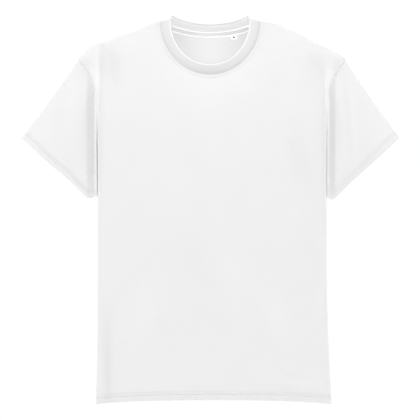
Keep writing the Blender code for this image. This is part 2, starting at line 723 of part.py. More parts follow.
def add_rib(patch, normals, shared):
    """The folded band of rib: a flat loop in section with a round top edge."""
    count = len(patch.edges["neck"])
    thickness = np.full(len(patch.points), RIB_THICKNESS)
    outer, inner = wall_points(patch, normals, thickness, shared, set(range(2 * count, 3 * count)))
    seam, middle, top = outer.reshape(3, count, 3)
    turn = unit(top - seam) * RIB_THICKNESS * RIB_ROUND
    depth = normals[2 * count :] * RIB_THICKNESS
    sections = [
        seam,
        middle + normals[count : 2 * count] * RIB_SWELL,
        top - turn,
        top - depth * 0.5,
        top - turn - depth,
        inner[count : 2 * count],
        inner[:count],
    ]
    loops = sections + [sections[0]]
    faces = grid_faces(len(loops), count, wraps=True)
    total = len(sections) * count
    faces = [tuple(corner % total for corner in face) for face in faces]
    add_object("neck_rib", np.concatenate(sections), faces)


def add_tape(patch, inner, normals):
    """The tape over the back neck seam, on the inside of the back panel. Gives the lower
    edge of its inner face, and the normals there."""
    places = patch.edges["neck"][TAPE_SKIPS:-TAPE_SKIPS]
    edge, out = inner[places], normals[places]
    along = unit(np.roll(edge, -1, axis=0) - np.roll(edge, 1, axis=0))
    along[0], along[-1] = unit(edge[1] - edge[0]), unit(edge[-1] - edge[-2])
    down = unit(np.cross(along, out))
    down *= np.where(down[:, 2:] < 0, 1, -1)
    outside = np.stack([edge + down * fall for fall in (TAPE_START, TAPE_WIDTH / 2, TAPE_WIDTH)])
    outside = settled(outside, patch, inner) - out[None] * TRIM_CLEARANCE
    inside = outside - out[None] * TAPE_THICKNESS
    faces = grid_faces(*outside.shape[:2])
    add_wall("neck_tape", faces, outside.reshape(-1, 3), inside.reshape(-1, 3))
    return inside[2], out


def settled(points, patch, inner):
    """Points moved along y onto the inner face of the back."""
    tree = BVHTree.FromPolygons([tuple(point) for point in inner], patch.faces)
    moved = points.copy()
    for place in np.ndindex(points.shape[:-1]):
        start = Vector(points[place]) - Vector((0, REACH, 0))
        hit = tree.ray_cast(start, Vector((0, 1, 0)), 2 * REACH)[0]
        if hit is not None:
            moved[place] = hit
    return moved


def add_tab(lower, normals):
    """The small blank tab, sewn on over the tape's lower edge."""
    order = np.argsort(lower[:, 0])

    def at(x, values):
        return np.stack([np.interp(x, lower[order, 0], values[order, k]) for k in range(3)])

    middle, out = at(TAB_PLACE, lower), unit(at(TAB_PLACE, normals))
    across = unit(at(TAB_PLACE + TAB_WIDTH / 2, lower) - at(TAB_PLACE - TAB_WIDTH / 2, lower))
    down = unit(np.cross(across, out))
    down = down if down[2] < 0 else -down
    corners = [
        middle + across * x + down * z
        for z in (-TAB_HEIGHT / 2, TAB_HEIGHT / 2)
        for x in (-TAB_WIDTH / 2, TAB_WIDTH / 2)
    ]
    outside = np.array(corners) - out * TRIM_CLEARANCE
    inside = outside - out * TAB_THICKNESS
    add_wall("tab", grid_faces(2, 2), outside, inside, colour=TAB_WHITE, roughness=0.7)


# ---------------------------------------------------------------- the whole shirt


def clear_scene():
    for item in list(bpy.data.objects):
        bpy.data.objects.remove(item, do_unlink=True)


def sleeve_hole(patches, side):
    """The armhole's points: from the shoulder tip down the front and up the back."""
    name = "armhole_left" if side > 0 else "armhole_right"
    runs = [patches[panel].points[patches[panel].edges[name]] for panel in ("front", "back")]
    fore, aft = (run[::-1] if side > 0 else run for run in runs)
    return np.concatenate([fore, aft[::-1][1:-1]])


def body_thickness(panel, patch):
    """The cloth's thickness at each point, with the turned-up layer in the hem."""
    bearing = bearing_of_across(panel, patch.flat[:, 0], patch.flat[:, 1])
    in_band = patch.flat[:, 1] < hem_height(panel, bearing) + HEM_BAND + HEM_EASE / 2
    return CLOTH + HEM_EXTRA * in_band


def sleeve_thickness(patch):
    thickness = np.full(len(patch.points), CLOTH)
    thickness[-2 * len(patch.edges["hem"]) :] += HEM_EXTRA
    return thickness


def build():
    clear_scene()
    patches = {panel: panel_patch(panel) for panel in ("front", "back")}
    patches["sleeve_left"] = sleeve_patch(sleeve_hole(patches, 1), 1)
    patches["sleeve_right"] = sleeve_patch(sleeve_hole(patches, -1), -1)
    patches["neck_rib"] = rib_patch(patches)
    normals = {name: patch_normals(patch.points, patch.faces) for name, patch in patches.items()}
    shared = shared_directions(patches, normals)
    inner_points = {}
    for name in ("front", "back", "sleeve_left", "sleeve_right"):
        patch = patches[name]
        thickness = sleeve_thickness(patch) if "sleeve" in name else body_thickness(name, patch)
        free = set(patch.edges["hem"].tolist())
        outer, inner_points[name] = wall_points(patch, normals[name], thickness, shared, free)
        add_wall(name, patch.faces, outer, inner_points[name])
    add_rib(patches["neck_rib"], normals["neck_rib"], shared)
    lower, out = add_tape(patches["back"], inner_points["back"], normals["back"])
    add_tab(lower, out)


build()
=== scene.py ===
# %% [markdown]
# # A white crew neck t-shirt, filled out with nobody in it
#
# This lesson dresses a plain, stiff model of a t-shirt as the real thing: thin cotton jersey,
# sewn panels, a ribbed neckband, twin rows of stitches at the hems. The stiff model gives every
# place and size. It is loaded first and never moved, and each sewn piece is then made again,
# finer, in the same place. +X is the wearer's left, -Y the front and +Z up, in metres.

# %% Load the stiff model
import math
from collections import namedtuple

import bpy
import numpy as np
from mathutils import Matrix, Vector, noise
from mathutils.bvhtree import BVHTree
from mathutils.geometry import delaunay_2d_cdt


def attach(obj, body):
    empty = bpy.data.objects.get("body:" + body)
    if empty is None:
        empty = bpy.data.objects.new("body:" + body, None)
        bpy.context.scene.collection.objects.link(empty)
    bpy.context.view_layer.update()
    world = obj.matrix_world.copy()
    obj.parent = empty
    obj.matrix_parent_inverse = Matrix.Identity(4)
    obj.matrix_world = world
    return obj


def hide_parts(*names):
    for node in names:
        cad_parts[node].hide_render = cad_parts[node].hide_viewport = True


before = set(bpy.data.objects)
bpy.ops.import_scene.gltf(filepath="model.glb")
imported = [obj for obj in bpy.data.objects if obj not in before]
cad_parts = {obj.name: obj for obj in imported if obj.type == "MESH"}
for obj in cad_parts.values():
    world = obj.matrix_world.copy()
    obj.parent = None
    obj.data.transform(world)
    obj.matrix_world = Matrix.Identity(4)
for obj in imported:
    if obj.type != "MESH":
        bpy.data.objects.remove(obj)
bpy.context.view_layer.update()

print("nodes:", ", ".join(sorted(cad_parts)))

# %% [markdown]
# ## The camera
#
# A shirt is shown best from straight in front, from a few steps away, so that both sleeves and
# the hem keep their true shape. A long lens does that. It stands level with the middle of the
# shirt and looks along +Y.

# %% Stand the camera in front
CAMERA_PLACE = (-0.0038, -3.2, -0.360)
LENS = 143.6  # mm, on a 36 mm sensor

lens = bpy.data.cameras.new("camera")
lens.lens = LENS
camera = bpy.data.objects.new("camera", lens)
bpy.context.scene.collection.objects.link(camera)
camera.location = CAMERA_PLACE
camera.rotation_euler = (math.pi / 2, 0, 0)
bpy.context.scene.camera = camera
print("camera", camera.location[:])

# %% [markdown]
# ## The body that fills the shirt out
#
# Cloth has no shape of its own, so a maker fits it on a form. Here the form is a table of level
# sections from the neck down: how far it reaches to each side, to the front and to the back, and
# how square it is. A curve through each column gives every level in between.

# %% The form's level sections
Ring = namedtuple("Ring", "height left right front back square")
RINGS = [
    Ring(0.000, 0.0902, 0.0978, 0.034, 0.046, 2.0),
    Ring(-0.005, 0.1205, 0.1155, 0.042, 0.054, 2.0),
    Ring(-0.016, 0.148, 0.139, 0.052, 0.067, 2.0),
    Ring(-0.026, 0.170, 0.167, 0.060, 0.076, 2.1),
    Ring(-0.040, 0.193, 0.204, 0.069, 0.085, 2.2),
    Ring(-0.047, 0.210, 0.2285, 0.073, 0.089, 2.2),
    Ring(-0.056, 0.2275, 0.2385, 0.077, 0.092, 2.3),
    Ring(-0.074, 0.2545, 0.2545, 0.083, 0.097, 2.4),
    Ring(-0.095, 0.242, 0.242, 0.088, 0.101, 2.7),
    Ring(-0.119, 0.229, 0.228, 0.092, 0.104, 3.2),
    Ring(-0.150, 0.2195, 0.2195, 0.097, 0.107, 3.7),
    Ring(-0.180, 0.2178, 0.2178, 0.101, 0.107, 3.8),
    Ring(-0.238, 0.2176, 0.2174, 0.104, 0.104, 3.5),
    Ring(-0.330, 0.2177, 0.2174, 0.103, 0.098, 3.2),
    Ring(-0.460, 0.2180, 0.2174, 0.099, 0.094, 3.0),
    Ring(-0.580, 0.2205, 0.2178, 0.097, 0.094, 3.0),
    Ring(-0.729, 0.2280, 0.2205, 0.097, 0.096, 3.0),
][::-1]


def smooth_through(places, values, wanted):
    """A smooth curve through a table's values that never swings past them."""
    places, values = np.asarray(places, float), np.asarray(values, float)
    steps = np.diff(places)
    slopes = np.diff(values) / steps
    tangents = np.zeros(len(places))
    tangents[0], tangents[-1] = slopes[0], slopes[-1]
    for i in range(1, len(places) - 1):
        if slopes[i - 1] * slopes[i] > 0:
            near, far = 2 * steps[i] + steps[i - 1], steps[i] + 2 * steps[i - 1]
            tangents[i] = (near + far) / (near / slopes[i - 1] + far / slopes[i])
    wanted = np.clip(wanted, places[0], places[-1])
    i = np.clip(np.searchsorted(places, wanted) - 1, 0, len(steps) - 1)
    s = (wanted - places[i]) / steps[i]
    start = values[i] * (1 + 2 * s) * (1 - s) ** 2 + tangents[i] * steps[i] * s * (1 - s) ** 2
    end = values[i + 1] * s * s * (3 - 2 * s) + tangents[i + 1] * steps[i] * s * s * (s - 1)
    return start + end


def ring_size(column, height):
    """One column of the table, at any heights."""
    heights = [ring.height for ring in RINGS]
    return smooth_through(heights, [getattr(ring, column) for ring in RINGS], height)


def form(panel, bearing, height):
    """Points on the form. A bearing of 0 is the centre line of the front or the back, and 90
    degrees is the wearer's left side."""
    bearing, height = np.broadcast_arrays(np.radians(bearing), height)
    across, along = np.sin(bearing), np.cos(bearing)
    square = ring_size("square", height)
    reach = (np.abs(across) ** square + np.abs(along) ** square) ** (-1 / square)
    half = np.where(across >= 0, ring_size("left", height), ring_size("right", height))
    depth = ring_size(panel, height) * (-1 if panel == "front" else 1)
    return np.stack([half * reach * across, depth * reach * along, height], axis=-1)


CHEST = -0.25
print("half chest", round(float(ring_size("left", CHEST) + ring_size("right", CHEST)), 4), "m")

# %% [markdown]
# ## Laying a panel out flat
#
# A pattern cutter works flat. To do the same, every point of a panel gets two flat numbers: how
# much cloth lies between it and the centre line, measured round its level section, and its
# height. Going back from those numbers to a bearing on the form lets the pattern be drawn flat
# and then wrapped round the body.

# %% From the form to flat cloth and back
FINE = 241  # points on each curve that is measured


def unit(vectors):
    return vectors / np.maximum(np.linalg.norm(vectors, axis=-1, keepdims=True), 1e-12)


def level_runs(panel, side, height):
    """Cloth from the centre line to each fine bearing, once for each level and side."""
    keys, place = np.unique(np.stack([side, height]), axis=1, return_inverse=True)
    bearings = np.linspace(0, 90, FINE)
    points = form(panel, keys[0][:, None] * bearings, keys[1][:, None])
    steps = np.linalg.norm(np.diff(points, axis=1), axis=-1)
    runs = np.concatenate([np.zeros((len(steps), 1)), np.cumsum(steps, axis=1)], axis=1)
    return bearings, runs, place.ravel()


def flat_of_chart(panel, chart):
    """Flat places of points given by bearing and height."""
    bearing, height = chart.T
    side = np.where(bearing < 0, -1.0, 1.0)
    _, runs, level = level_runs(panel, side, height)
    place = np.abs(bearing) / 90 * (FINE - 1)
    low = np.clip(place.astype(int), 0, FINE - 2)
    run = runs[level, low] + (place - low) * (runs[level, low + 1] - runs[level, low])
    return np.stack([run * side, height], axis=-1)


def chart_of_flat(panel, flat):
    """Bearings and heights of flat places."""
    across, height = flat.T
    side = np.where(across < 0, -1.0, 1.0)
    bearings, runs, level = level_runs(panel, side, height)
    size = np.clip(np.abs(across), 0, runs[level, -1])
    low = np.clip((runs[level] < size[:, None]).sum(axis=1) - 1, 0, FINE - 2)
    share = (size - runs[level, low]) / (runs[level, low + 1] - runs[level, low])
    bearing = side * (bearings[low] + share * (bearings[1] - bearings[0]))
    return np.stack([bearing, height], axis=-1)


def bearing_of_x(panel, x, height):
    """The bearing of the form's point at this x and height."""
    half = np.where(x >= 0, ring_size("left", height), ring_size("right", height))
    share = np.clip(np.abs(x) / half, 0, 1)
    square = ring_size("square", height)
    along = np.clip(1 - share**square, 0, 1) ** (1 / square)
    return np.degrees(np.arctan2(share * np.sign(x), along))


def bearing_of_depth(panel, depth, height):
    """The bearing, on the wearer's left, of the point this far before or behind the side."""
    share = np.clip(depth / ring_size(panel, height), 0, 1)
    square = ring_size("square", height)
    across = np.clip(1 - share**square, 0, 1) ** (1 / square)
    return np.degrees(np.arctan2(across, share))


# %% [markdown]
# ## The cutting lines
#
# Each panel is cut along a hem, two side seams, two armholes, two shoulder seams and a neckline.
# The hem rides up a little towards the centre, and the armholes are dropped, as on a roomy
# unisex shirt. Every line is spaced evenly, close enough for fine folds to show.

# %% The edges of a panel
NECK_MIDDLE = -0.0038  # the neck sits this far to the wearer's right
NECK_HALF_WIDTH = 0.094  # from there to where the shoulder seams meet the neckband
NECK_DROP = {"front": 0.108, "back": 0.0155}
NECK_POWER = {"front": 1, "back": 2}
SHOULDER_TIP = -0.074  # height of the armhole's top
UNDERARM = -0.238  # height of its lowest point
ARMHOLE_SWING = {"front": 0.039, "back": 0.048}
HEM_SIDES = -0.729  # height of the hem at the side seams
HEM_MIDDLE = {"front": -0.712, "back": -0.721}
HEM_BAND = 0.0168  # height of the turned-up hem

PANELS = ("front", "back")
HEM_STEPS = 120
SIDE_STEPS = 92
SHOULDER_STEPS = 34
ARMHOLE_STEPS = 48
NECK_STEPS = {"front": 64, "back": 48}
# Heights above the hem's edge that get a row of points, close together at the stitches.
HEM_LIFTS = [
    0.0012, 0.0035, 0.0065, 0.0092, 0.0105, 0.0118,
    0.0136, 0.0155, 0.0168, 0.0182, 0.0205, 0.0240,
]


def run_shares(points):
    """How far along a line of points each one lies, as a share of the line's length."""
    lengths = np.concatenate([[0], np.cumsum(np.linalg.norm(np.diff(points, axis=0), axis=1))])
    return lengths / lengths[-1]


def at_shares(line, shares, wanted):
    """Values read along a line at the wanted shares of its length."""
    return np.stack([np.interp(wanted, shares, column) for column in line.T], axis=-1)


def spaced(panel, line, count):
    """A line of bearings and heights, at points equally far apart on the form."""
    return at_shares(line, run_shares(form(panel, *line.T)), np.linspace(0, 1, count + 1))


def hem_height(panel, bearing):
    """The hem's edge rides up smoothly from the side seams to the centre."""
    middle = HEM_MIDDLE[panel]
    return middle + (HEM_SIDES - middle) * np.abs(np.sin(np.radians(bearing))) ** 3


def neckline(panel):
    """The neck seam, from the wearer's left to the right."""
    turn = np.linspace(math.pi / 2, -math.pi / 2, FINE)
    height = -NECK_DROP[panel] * np.cos(turn) ** NECK_POWER[panel]
    x = NECK_MIDDLE + NECK_HALF_WIDTH * np.sin(turn)
    return np.stack([bearing_of_x(panel, x, height), height], axis=-1)


def armhole(panel):
    """The left armhole, from the shoulder tip down to the underarm."""
    turn = np.linspace(0, math.pi, FINE)
    height = (SHOULDER_TIP + UNDERARM) / 2 + (SHOULDER_TIP - UNDERARM) / 2 * np.cos(turn)
    depth = ARMHOLE_SWING[panel] * np.sin(turn)
    return np.stack([bearing_of_depth(panel, depth, height), height], axis=-1)


def panel_edges(panel):
    """The panel's edges in turn round it, from the hem's right end."""
    bearings = np.linspace(-90, 90, FINE)
    hem = np.stack([bearings, hem_height(panel, bearings)], axis=-1)
    starts = [(90, HEM_SIDES + lift) for lift in [0] + HEM_LIFTS[:-1]]
    upright = np.linspace((90, HEM_SIDES + HEM_LIFTS[-1]), (90, UNDERARM), FINE)
    side = np.concatenate([starts, spaced(panel, upright, SIDE_STEPS)])
    hole = spaced(panel, armhole(panel), ARMHOLE_STEPS)
    slope = np.linspace((90, SHOULDER_TIP), (90, 0), FINE)
    shoulder = spaced(panel, slope, SHOULDER_STEPS)
    mirror = np.array([-1, 1])
    return {
        "hem": spaced(panel, hem, HEM_STEPS),
        "side_left": side,
        "armhole_left": hole[::-1],
        "shoulder_left": shoulder,
        "neck": spaced(panel, neckline(panel), NECK_STEPS[panel]),
        "shoulder_right": shoulder[::-1] * mirror,
        "armhole_right": hole * mirror,
        "side_right": side[::-1] * mirror,
    }


for panel in PANELS:
    print(panel, {name: len(edge) for name, edge in panel_edges(panel).items()})

# %% [markdown]
# ## Filling a panel with points
#
# Jersey bends softly, so most of a panel needs only a point every few millimetres. Along a seam
# the cloth dips within a few threads, so there it gets rows of points that follow the seam. A
# Delaunay triangulation then joins all the flat points without crossing the cutting lines.

# %% Rows along the seams and a lattice in between
SEAM_ROWS = [0.0009, 0.0020, 0.0032, 0.0046, 0.0064, 0.0086]  # distances from a seam
LATTICE_STEP = 0.0056
TOP_STEP = 0.0030  # level rows lie closer on the sloping shoulders
TOP_START = -0.085
ROW_CLEARANCE = 0.0026  # between the rows along the edges and the lattice

Patch = namedtuple("Patch", "points faces edges flat")


def edge_distance(places, outline):
    """How far each flat place lies from the outline, and whether it is inside."""
    start, end = outline, np.roll(outline, -1, axis=0)
    run = end - start
    offset = places[:, None] - start[None]
    along = np.clip((offset * run).sum(-1) / (run * run).sum(-1), 0, 1)
    distance = np.linalg.norm(offset - along[..., None] * run, axis=-1).min(axis=1)
    y, y_next = start[:, 1][None], end[:, 1][None]
    crosses = (y <= places[:, 1:]) != (y_next <= places[:, 1:])
    at = start[:, 0] + (places[:, 1:] - y) * run[:, 0] / np.where(run[:, 1] == 0, 1, run[:, 1])
    inside = (crosses & (places[:, :1] < at)).sum(axis=1) % 2 == 1
    return distance, inside


def seam_rows(outline, bottom):
    """Rows of flat places inside the outline, at each of the seam rows' distances."""
    ahead = np.roll(outline, -1, axis=0) - np.roll(outline, 1, axis=0)
    inwards = unit(np.stack([-ahead[:, 1], ahead[:, 0]], axis=-1))
    rows = []
    for reach in SEAM_ROWS:
        row = outline + inwards * reach
        distance, inside = edge_distance(row, outline)
        rows.append(row[inside & (distance > 0.9 * reach) & (row[:, 1] > bottom)])
    return np.concatenate(rows)


def lattice(outline, bottom):
    """Level rows of flat places inside the outline, clear of the rows along its edges."""
    widest = np.abs(outline[:, 0]).max()
    columns = np.arange(-widest, widest, LATTICE_STEP)
    rows = np.concatenate(
        [np.arange(bottom, TOP_START, LATTICE_STEP), np.arange(TOP_START, 0, TOP_STEP)]
    )
    across, height = np.meshgrid(columns, rows)
    across[1::2] += LATTICE_STEP / 2
    places = np.stack([across.ravel(), height.ravel()], axis=-1)
    distance, inside = edge_distance(places, outline)
    return places[inside & (distance > SEAM_ROWS[-1] + ROW_CLEARANCE)]


print(len(SEAM_ROWS), "rows along each seam, then a lattice of", LATTICE_STEP * 1000, "mm")

# %% Join the flat places and wrap them round the form
def triangles(flat, edge_count):
    """Triangles between flat places, the first of which are the outline."""
    ring = [(i, (i + 1) % edge_count) for i in range(edge_count)]
    made = delaunay_2d_cdt([Vector(place) for place in flat], ring, [], 1, 1e-7)
    order = np.array([sources[0] for sources in made[3]])
    return order[np.array(made[2])]


def panel_patch(panel):
    """A panel's points and triangles on the form, with the places of its edges in them."""
    edges = panel_edges(panel)
    places_of, count = {}, 0
    for name, edge in edges.items():
        places_of[name] = np.arange(count, count + len(edge))
        count += len(edge) - 1
    for places in places_of.values():
        places[places == count] = 0
    outline = np.concatenate([edge[:-1] for edge in edges.values()])
    hem_rows = [edges["hem"][1:-1] + (0, lift) for lift in HEM_LIFTS]
    flat_outline = flat_of_chart(panel, outline)
    bottom = HEM_SIDES + HEM_LIFTS[-1]
    inner = np.concatenate([seam_rows(flat_outline, bottom), lattice(flat_outline, bottom)])
    inner = chart_of_flat(panel, inner)
    lift = inner[:, 1] - hem_height(panel, inner[:, 0])
    inner = inner[lift > HEM_LIFTS[-1] + ROW_CLEARANCE]
    chart = np.concatenate([outline] + hem_rows + [inner])
    flat = flat_of_chart(panel, chart)
    points = form(panel, *chart.T)
    faces = facing_out(points, triangles(flat, count), points * (1, 1, 0))
    return Patch(points, faces, places_of, flat), chart


def face_normals(points, faces):
    """Each face's normal, as long as twice its area."""
    corners = points[faces]
    return np.cross(corners[:, 2] - corners[:, 0], corners[:, -1] - corners[:, 1])


def facing_out(points, faces, outwards):
    """The faces turned so that they agree with a rough outward direction at the points."""
    agrees = (face_normals(points, faces) * outwards[faces].mean(axis=1)).sum() > 0
    return faces if agrees else faces[:, ::-1]


def patch_normals(points, faces):
    """Normals at a patch's points, from the faces around each."""
    total = np.zeros(points.shape)
    normals = face_normals(points, faces)
    for corner in faces.T:
        np.add.at(total, corner, normals)
    return unit(total)


patches, charts = {}, {}
for panel in PANELS:
    patches[panel], charts[panel] = panel_patch(panel)
    print(panel, len(patches[panel].points), "points,", len(patches[panel].faces), "triangles")

# %% [markdown]
# ## Soft folds
#
# Filled-out jersey is never smooth. It pulls from the shoulder towards the armhole, hangs in
# shallow columns from the chest, and crumples a little above the hem. Each fold is a soft ridge
# or trough between two points seen from the front, with a width and a depth. The first rows are
# the stiff model's own folds. The others are slighter, and only show in the fine cloth. Near a
# side or shoulder seam a fold fades out, because the seam holds the cloth.

# %% The folds of the front and the back
Fold = namedtuple("Fold", "panel x z end_x end_z width depth")
FOLDS = [
    Fold("front", -0.208, -0.075, -0.200, -0.150, 0.013, 0.0030),
    Fold("front", -0.186, -0.055, -0.182, -0.135, 0.018, -0.0045),
    Fold("front", 0.190, -0.055, 0.196, -0.120, 0.020, -0.0025),
    Fold("front", -0.197, -0.560, -0.193, -0.735, 0.014, -0.0045),
    Fold("front", -0.150, -0.620, -0.110, -0.510, 0.026, 0.0025),
    Fold("front", 0.095, -0.510, 0.145, -0.610, 0.026, 0.0025),
    Fold("front", 0.150, -0.230, 0.180, -0.320, 0.022, -0.0025),
    Fold("back", -0.185, -0.070, -0.178, -0.160, 0.020, -0.0040),
    Fold("back", 0.183, -0.060, 0.180, -0.170, 0.022, -0.0040),
    Fold("back", -0.070, -0.300, -0.100, -0.520, 0.034, -0.0040),
    Fold("back", 0.080, -0.340, 0.115, -0.580, 0.036, -0.0040),
    Fold("back", 0.010, -0.450, -0.010, -0.690, 0.032, 0.0030),
    # slighter folds
    Fold("front", -0.219, -0.052, -0.206, -0.070, 0.006, 0.0016),
    Fold("front", -0.214, -0.070, -0.210, -0.120, 0.005, -0.0012),
    Fold("front", 0.026, -0.246, 0.052, -0.238, 0.006, -0.0008),
    Fold("front", 0.140, -0.226, 0.158, -0.300, 0.009, -0.0012),
    Fold("front", 0.125, -0.662, 0.168, -0.676, 0.006, -0.0011),
    Fold("front", 0.140, -0.680, 0.186, -0.688, 0.006, 0.0010),
    Fold("front", 0.112, -0.688, 0.150, -0.700, 0.005, -0.0009),
    Fold("front", -0.189, -0.600, -0.183, -0.725, 0.006, 0.0012),
    Fold("front", -0.060, -0.400, -0.020, -0.520, 0.030, -0.0016),
    Fold("front", 0.030, -0.430, 0.055, -0.560, 0.026, 0.0014),
    Fold("back", -0.205, -0.085, -0.196, -0.170, 0.010, 0.0016),
    Fold("back", 0.206, -0.080, 0.198, -0.165, 0.010, 0.0016),
    Fold("back", -0.030, -0.090, 0.045, -0.100, 0.022, -0.0014),
    Fold("back", -0.150, -0.600, -0.130, -0.700, 0.016, -0.0016),
    Fold("back", 0.160, -0.560, 0.150, -0.700, 0.016, -0.0016),
]
SEAM_CALM = 22  # bearings this near a side or shoulder seam hold no full fold
FOLD_END = 0.12  # part of a fold's rise and fall that lies past each of its ends


def fold_rise(panel, points, folds=FOLDS):
    """How far the folds lift the cloth at each point."""
    rise = np.zeros(len(points))
    for fold in (fold for fold in folds if fold.panel == panel):
        start, end = np.array([fold.x, fold.z]), np.array([fold.end_x, fold.end_z])
        run = end - start
        place = points[:, [0, 2]] - start
        along = np.clip(place @ run / (run @ run), 0, 1)
        off = np.linalg.norm(place - along[:, None] * run, axis=-1)
        taper = np.sin(math.pi * (FOLD_END + (1 - 2 * FOLD_END) * along))
        rise += fold.depth * taper * np.exp(-((off / fold.width) ** 2))
    return rise


for panel, chart in charts.items():
    patch = patches[panel]
    share = np.clip((90 - np.abs(chart[:, 0])) / SEAM_CALM, 0, 1)
    rise = fold_rise(panel, patch.points) * share * share * (3 - 2 * share)
    lifted = patch.points + patch_normals(patch.points, patch.faces) * rise[:, None]
    patches[panel] = patch._replace(points=lifted)
    least, most = (rise.min() * 1000).round(1), (rise.max() * 1000).round(1)
    print(panel, "folds from", least, "to", most, "mm")

# %% [markdown]
# ## The sleeves
#
# A sleeve is sewn into the armhole, so it starts from the armhole's own points, front and back,
# and ends on a slanted hem. Twelve lines run down it, each with an end on the hem and a bow, and
# smooth rings through those lines give the tube. The lines in the armpit keep close to the body,
# which folds the sleeve's front over and leaves the deep groove beside the body.

# %% The lines down a sleeve
Guide = namedtuple("Guide", "name side share x y z bow_x bow_y bow_z early")
SLEEVE_GUIDES = [
    Guide("top", "front", 0.00, 0.3570, 0.000, -0.2220, -0.0010, 0.000, -0.0005, 1.0),
    Guide("crown", "front", 0.10, 0.3470, -0.020, -0.2305, -0.0010, -0.006, 0.000, 1.0),
    Guide("face_high", "front", 0.16, 0.3070, -0.037, -0.2670, 0.000, -0.020, 0.000, 0.9),
    Guide("face_low", "front", 0.26, 0.2620, -0.040, -0.3080, 0.000, -0.026, 0.000, 0.8),
    Guide("fold", "front", 0.36, 0.2300, -0.040, -0.3385, 0.005, -0.014, 0.000, 0.7),
    Guide("groove", "front", 0.66, 0.2184, -0.029, -0.3350, 0.0012, -0.006, 0.000, 0.65),
    Guide("under", "front", 1.00, 0.2190, 0.004, -0.3325, 0.0022, 0.000, 0.000, 0.5),
    Guide("back_groove", "back", 0.66, 0.2180, 0.033, -0.3340, 0.0015, 0.004, 0.000, 0.65),
    Guide("back_fold", "back", 0.36, 0.2215, 0.048, -0.3370, 0.001, 0.014, 0.000, 0.7),
    Guide("back_low", "back", 0.26, 0.2580, 0.046, -0.3080, 0.000, 0.022, 0.000, 0.8),
    Guide("back_high", "back", 0.16, 0.3070, 0.036, -0.2670, 0.000, 0.018, 0.000, 0.9),
    Guide("back_crown", "back", 0.10, 0.3470, 0.020, -0.2305, -0.0010, 0.006, 0.000, 1.0),
]
SLEEVE_MERGE = 0.30  # part of the sleeve's length over which it leaves the armhole's own curve
RIGHT_SLEEVE_REACH = 0.0055  # the right sleeve's hem lies this much further out
RIGHT_SLEEVE_RISE = 0.0030  # and its inner corner this much higher
HUGGING = ("under", "groove", "back_groove", "back_fold")
INNER_CORNER = HUGGING + ("fold", "face_low", "back_low")
SLEEVE_FINE = 61  # points along each line before it is spaced
GUIDE_POINTS = 16  # points on a ring from one line to the next
SLEEVE_ROWS = 26
SLEEVES = {"sleeve_left": 1, "sleeve_right": -1}  # and the side that each is on
print("lines down each sleeve:", ", ".join(guide.name for guide in SLEEVE_GUIDES))

# %% [markdown]
# A ring round the sleeve is a curve through one point of each line. It has to start as the
# armhole itself, point for point, or the two pieces would gape at their seam. So the first rings
# blend from the armhole's own curve into the smooth one, and both halves of every ring are
# spaced afresh between the sleeve's top and its underarm.

# %% Rings from the armhole to the hem
def through_ring(guides, count):
    """A closed smooth curve through the points of each row, which are (rows, points, 3)."""
    before, after = np.roll(guides, 1, axis=1), np.roll(guides, -1, axis=1)
    further = np.roll(guides, -2, axis=1)
    s = np.linspace(0, 1, count, endpoint=False)[None, None, :, None]
    a, b, c, d = (g[:, :, None] for g in (before, guides, after, further))
    curve = 0.5 * (
        2 * b + (c - a) * s + (2 * a - 5 * b + 4 * c - d) * s**2 + (3 * b - a - 3 * c + d) * s**3
    )
    return curve.reshape(len(guides), -1, guides.shape[-1])


def along_line(points, wanted):
    """Points at the wanted shares of a line's length."""
    return at_shares(points, run_shares(points), wanted)


def halves(ring, split, shares):
    """A closed curve spaced afresh: top to underarm by the front, then back up behind."""
    front = along_line(ring[: split + 1], shares)
    back = along_line(np.concatenate([ring[split:], ring[:1]]), shares)
    return np.concatenate([front, back[1:-1]])


def sleeve_hole(side):
    """The armhole's points: from the shoulder tip down the front and up the back."""
    name = "armhole_left" if side > 0 else "armhole_right"
    runs = [patches[panel].points[patches[panel].edges[name]] for panel in PANELS]
    fore, aft = (run[::-1] if side > 0 else run for run in runs)
    return np.concatenate([fore, aft[::-1][1:-1]])


def sleeve_rings(hole, side):
    """Closed rings from the armhole's points out to the hem."""
    split = GUIDE_POINTS * [guide.name for guide in SLEEVE_GUIDES].index("under")
    half = len(hole) // 2
    down = {"front": hole[: half + 1], "back": np.concatenate([hole[half:], hole[:1]])[::-1]}
    t = np.linspace(0, 1, SLEEVE_FINE)[:, None]
    lines = []
    for guide in SLEEVE_GUIDES:
        start = along_line(down[guide.side], np.array([guide.share]))[0]
        end = np.array([side * guide.x, guide.y, guide.z])
        if side < 0 and guide.name not in HUGGING:
            end[0] -= RIGHT_SLEEVE_REACH
        if side < 0 and guide.name in INNER_CORNER:
            end[2] += RIGHT_SLEEVE_RISE
        bow = np.array([side * guide.bow_x, guide.bow_y, guide.bow_z])
        lines.append(start + (end - start) * t + bow * np.sin(math.pi * t**guide.early))
    rings = through_ring(np.stack(lines, axis=1), GUIDE_POINTS)
    rings = np.stack([halves(ring, split, np.linspace(0, 1, half + 1)) for ring in rings])
    rings += (hole - rings[0]) * (np.clip(1 - t / SLEEVE_MERGE, 0, 1) ** 2)[..., None]
    rings[0] = hole
    return rings


print("the left armhole has", len(sleeve_hole(1)), "points")

# %% Loft the sleeves
def grid_faces(rows, columns, wraps=False):
    """Four-sided faces of a grid of points; one that wraps joins its last column to the first."""
    row, column = np.meshgrid(
        np.arange(rows - 1), np.arange(columns if wraps else columns - 1), indexing="ij"
    )
    ahead = (column + 1) % columns
    corners = [(row, column), (row, ahead), (row + 1, ahead), (row + 1, column)]
    return np.stack([(r * columns + c).ravel() for r, c in corners], axis=-1)


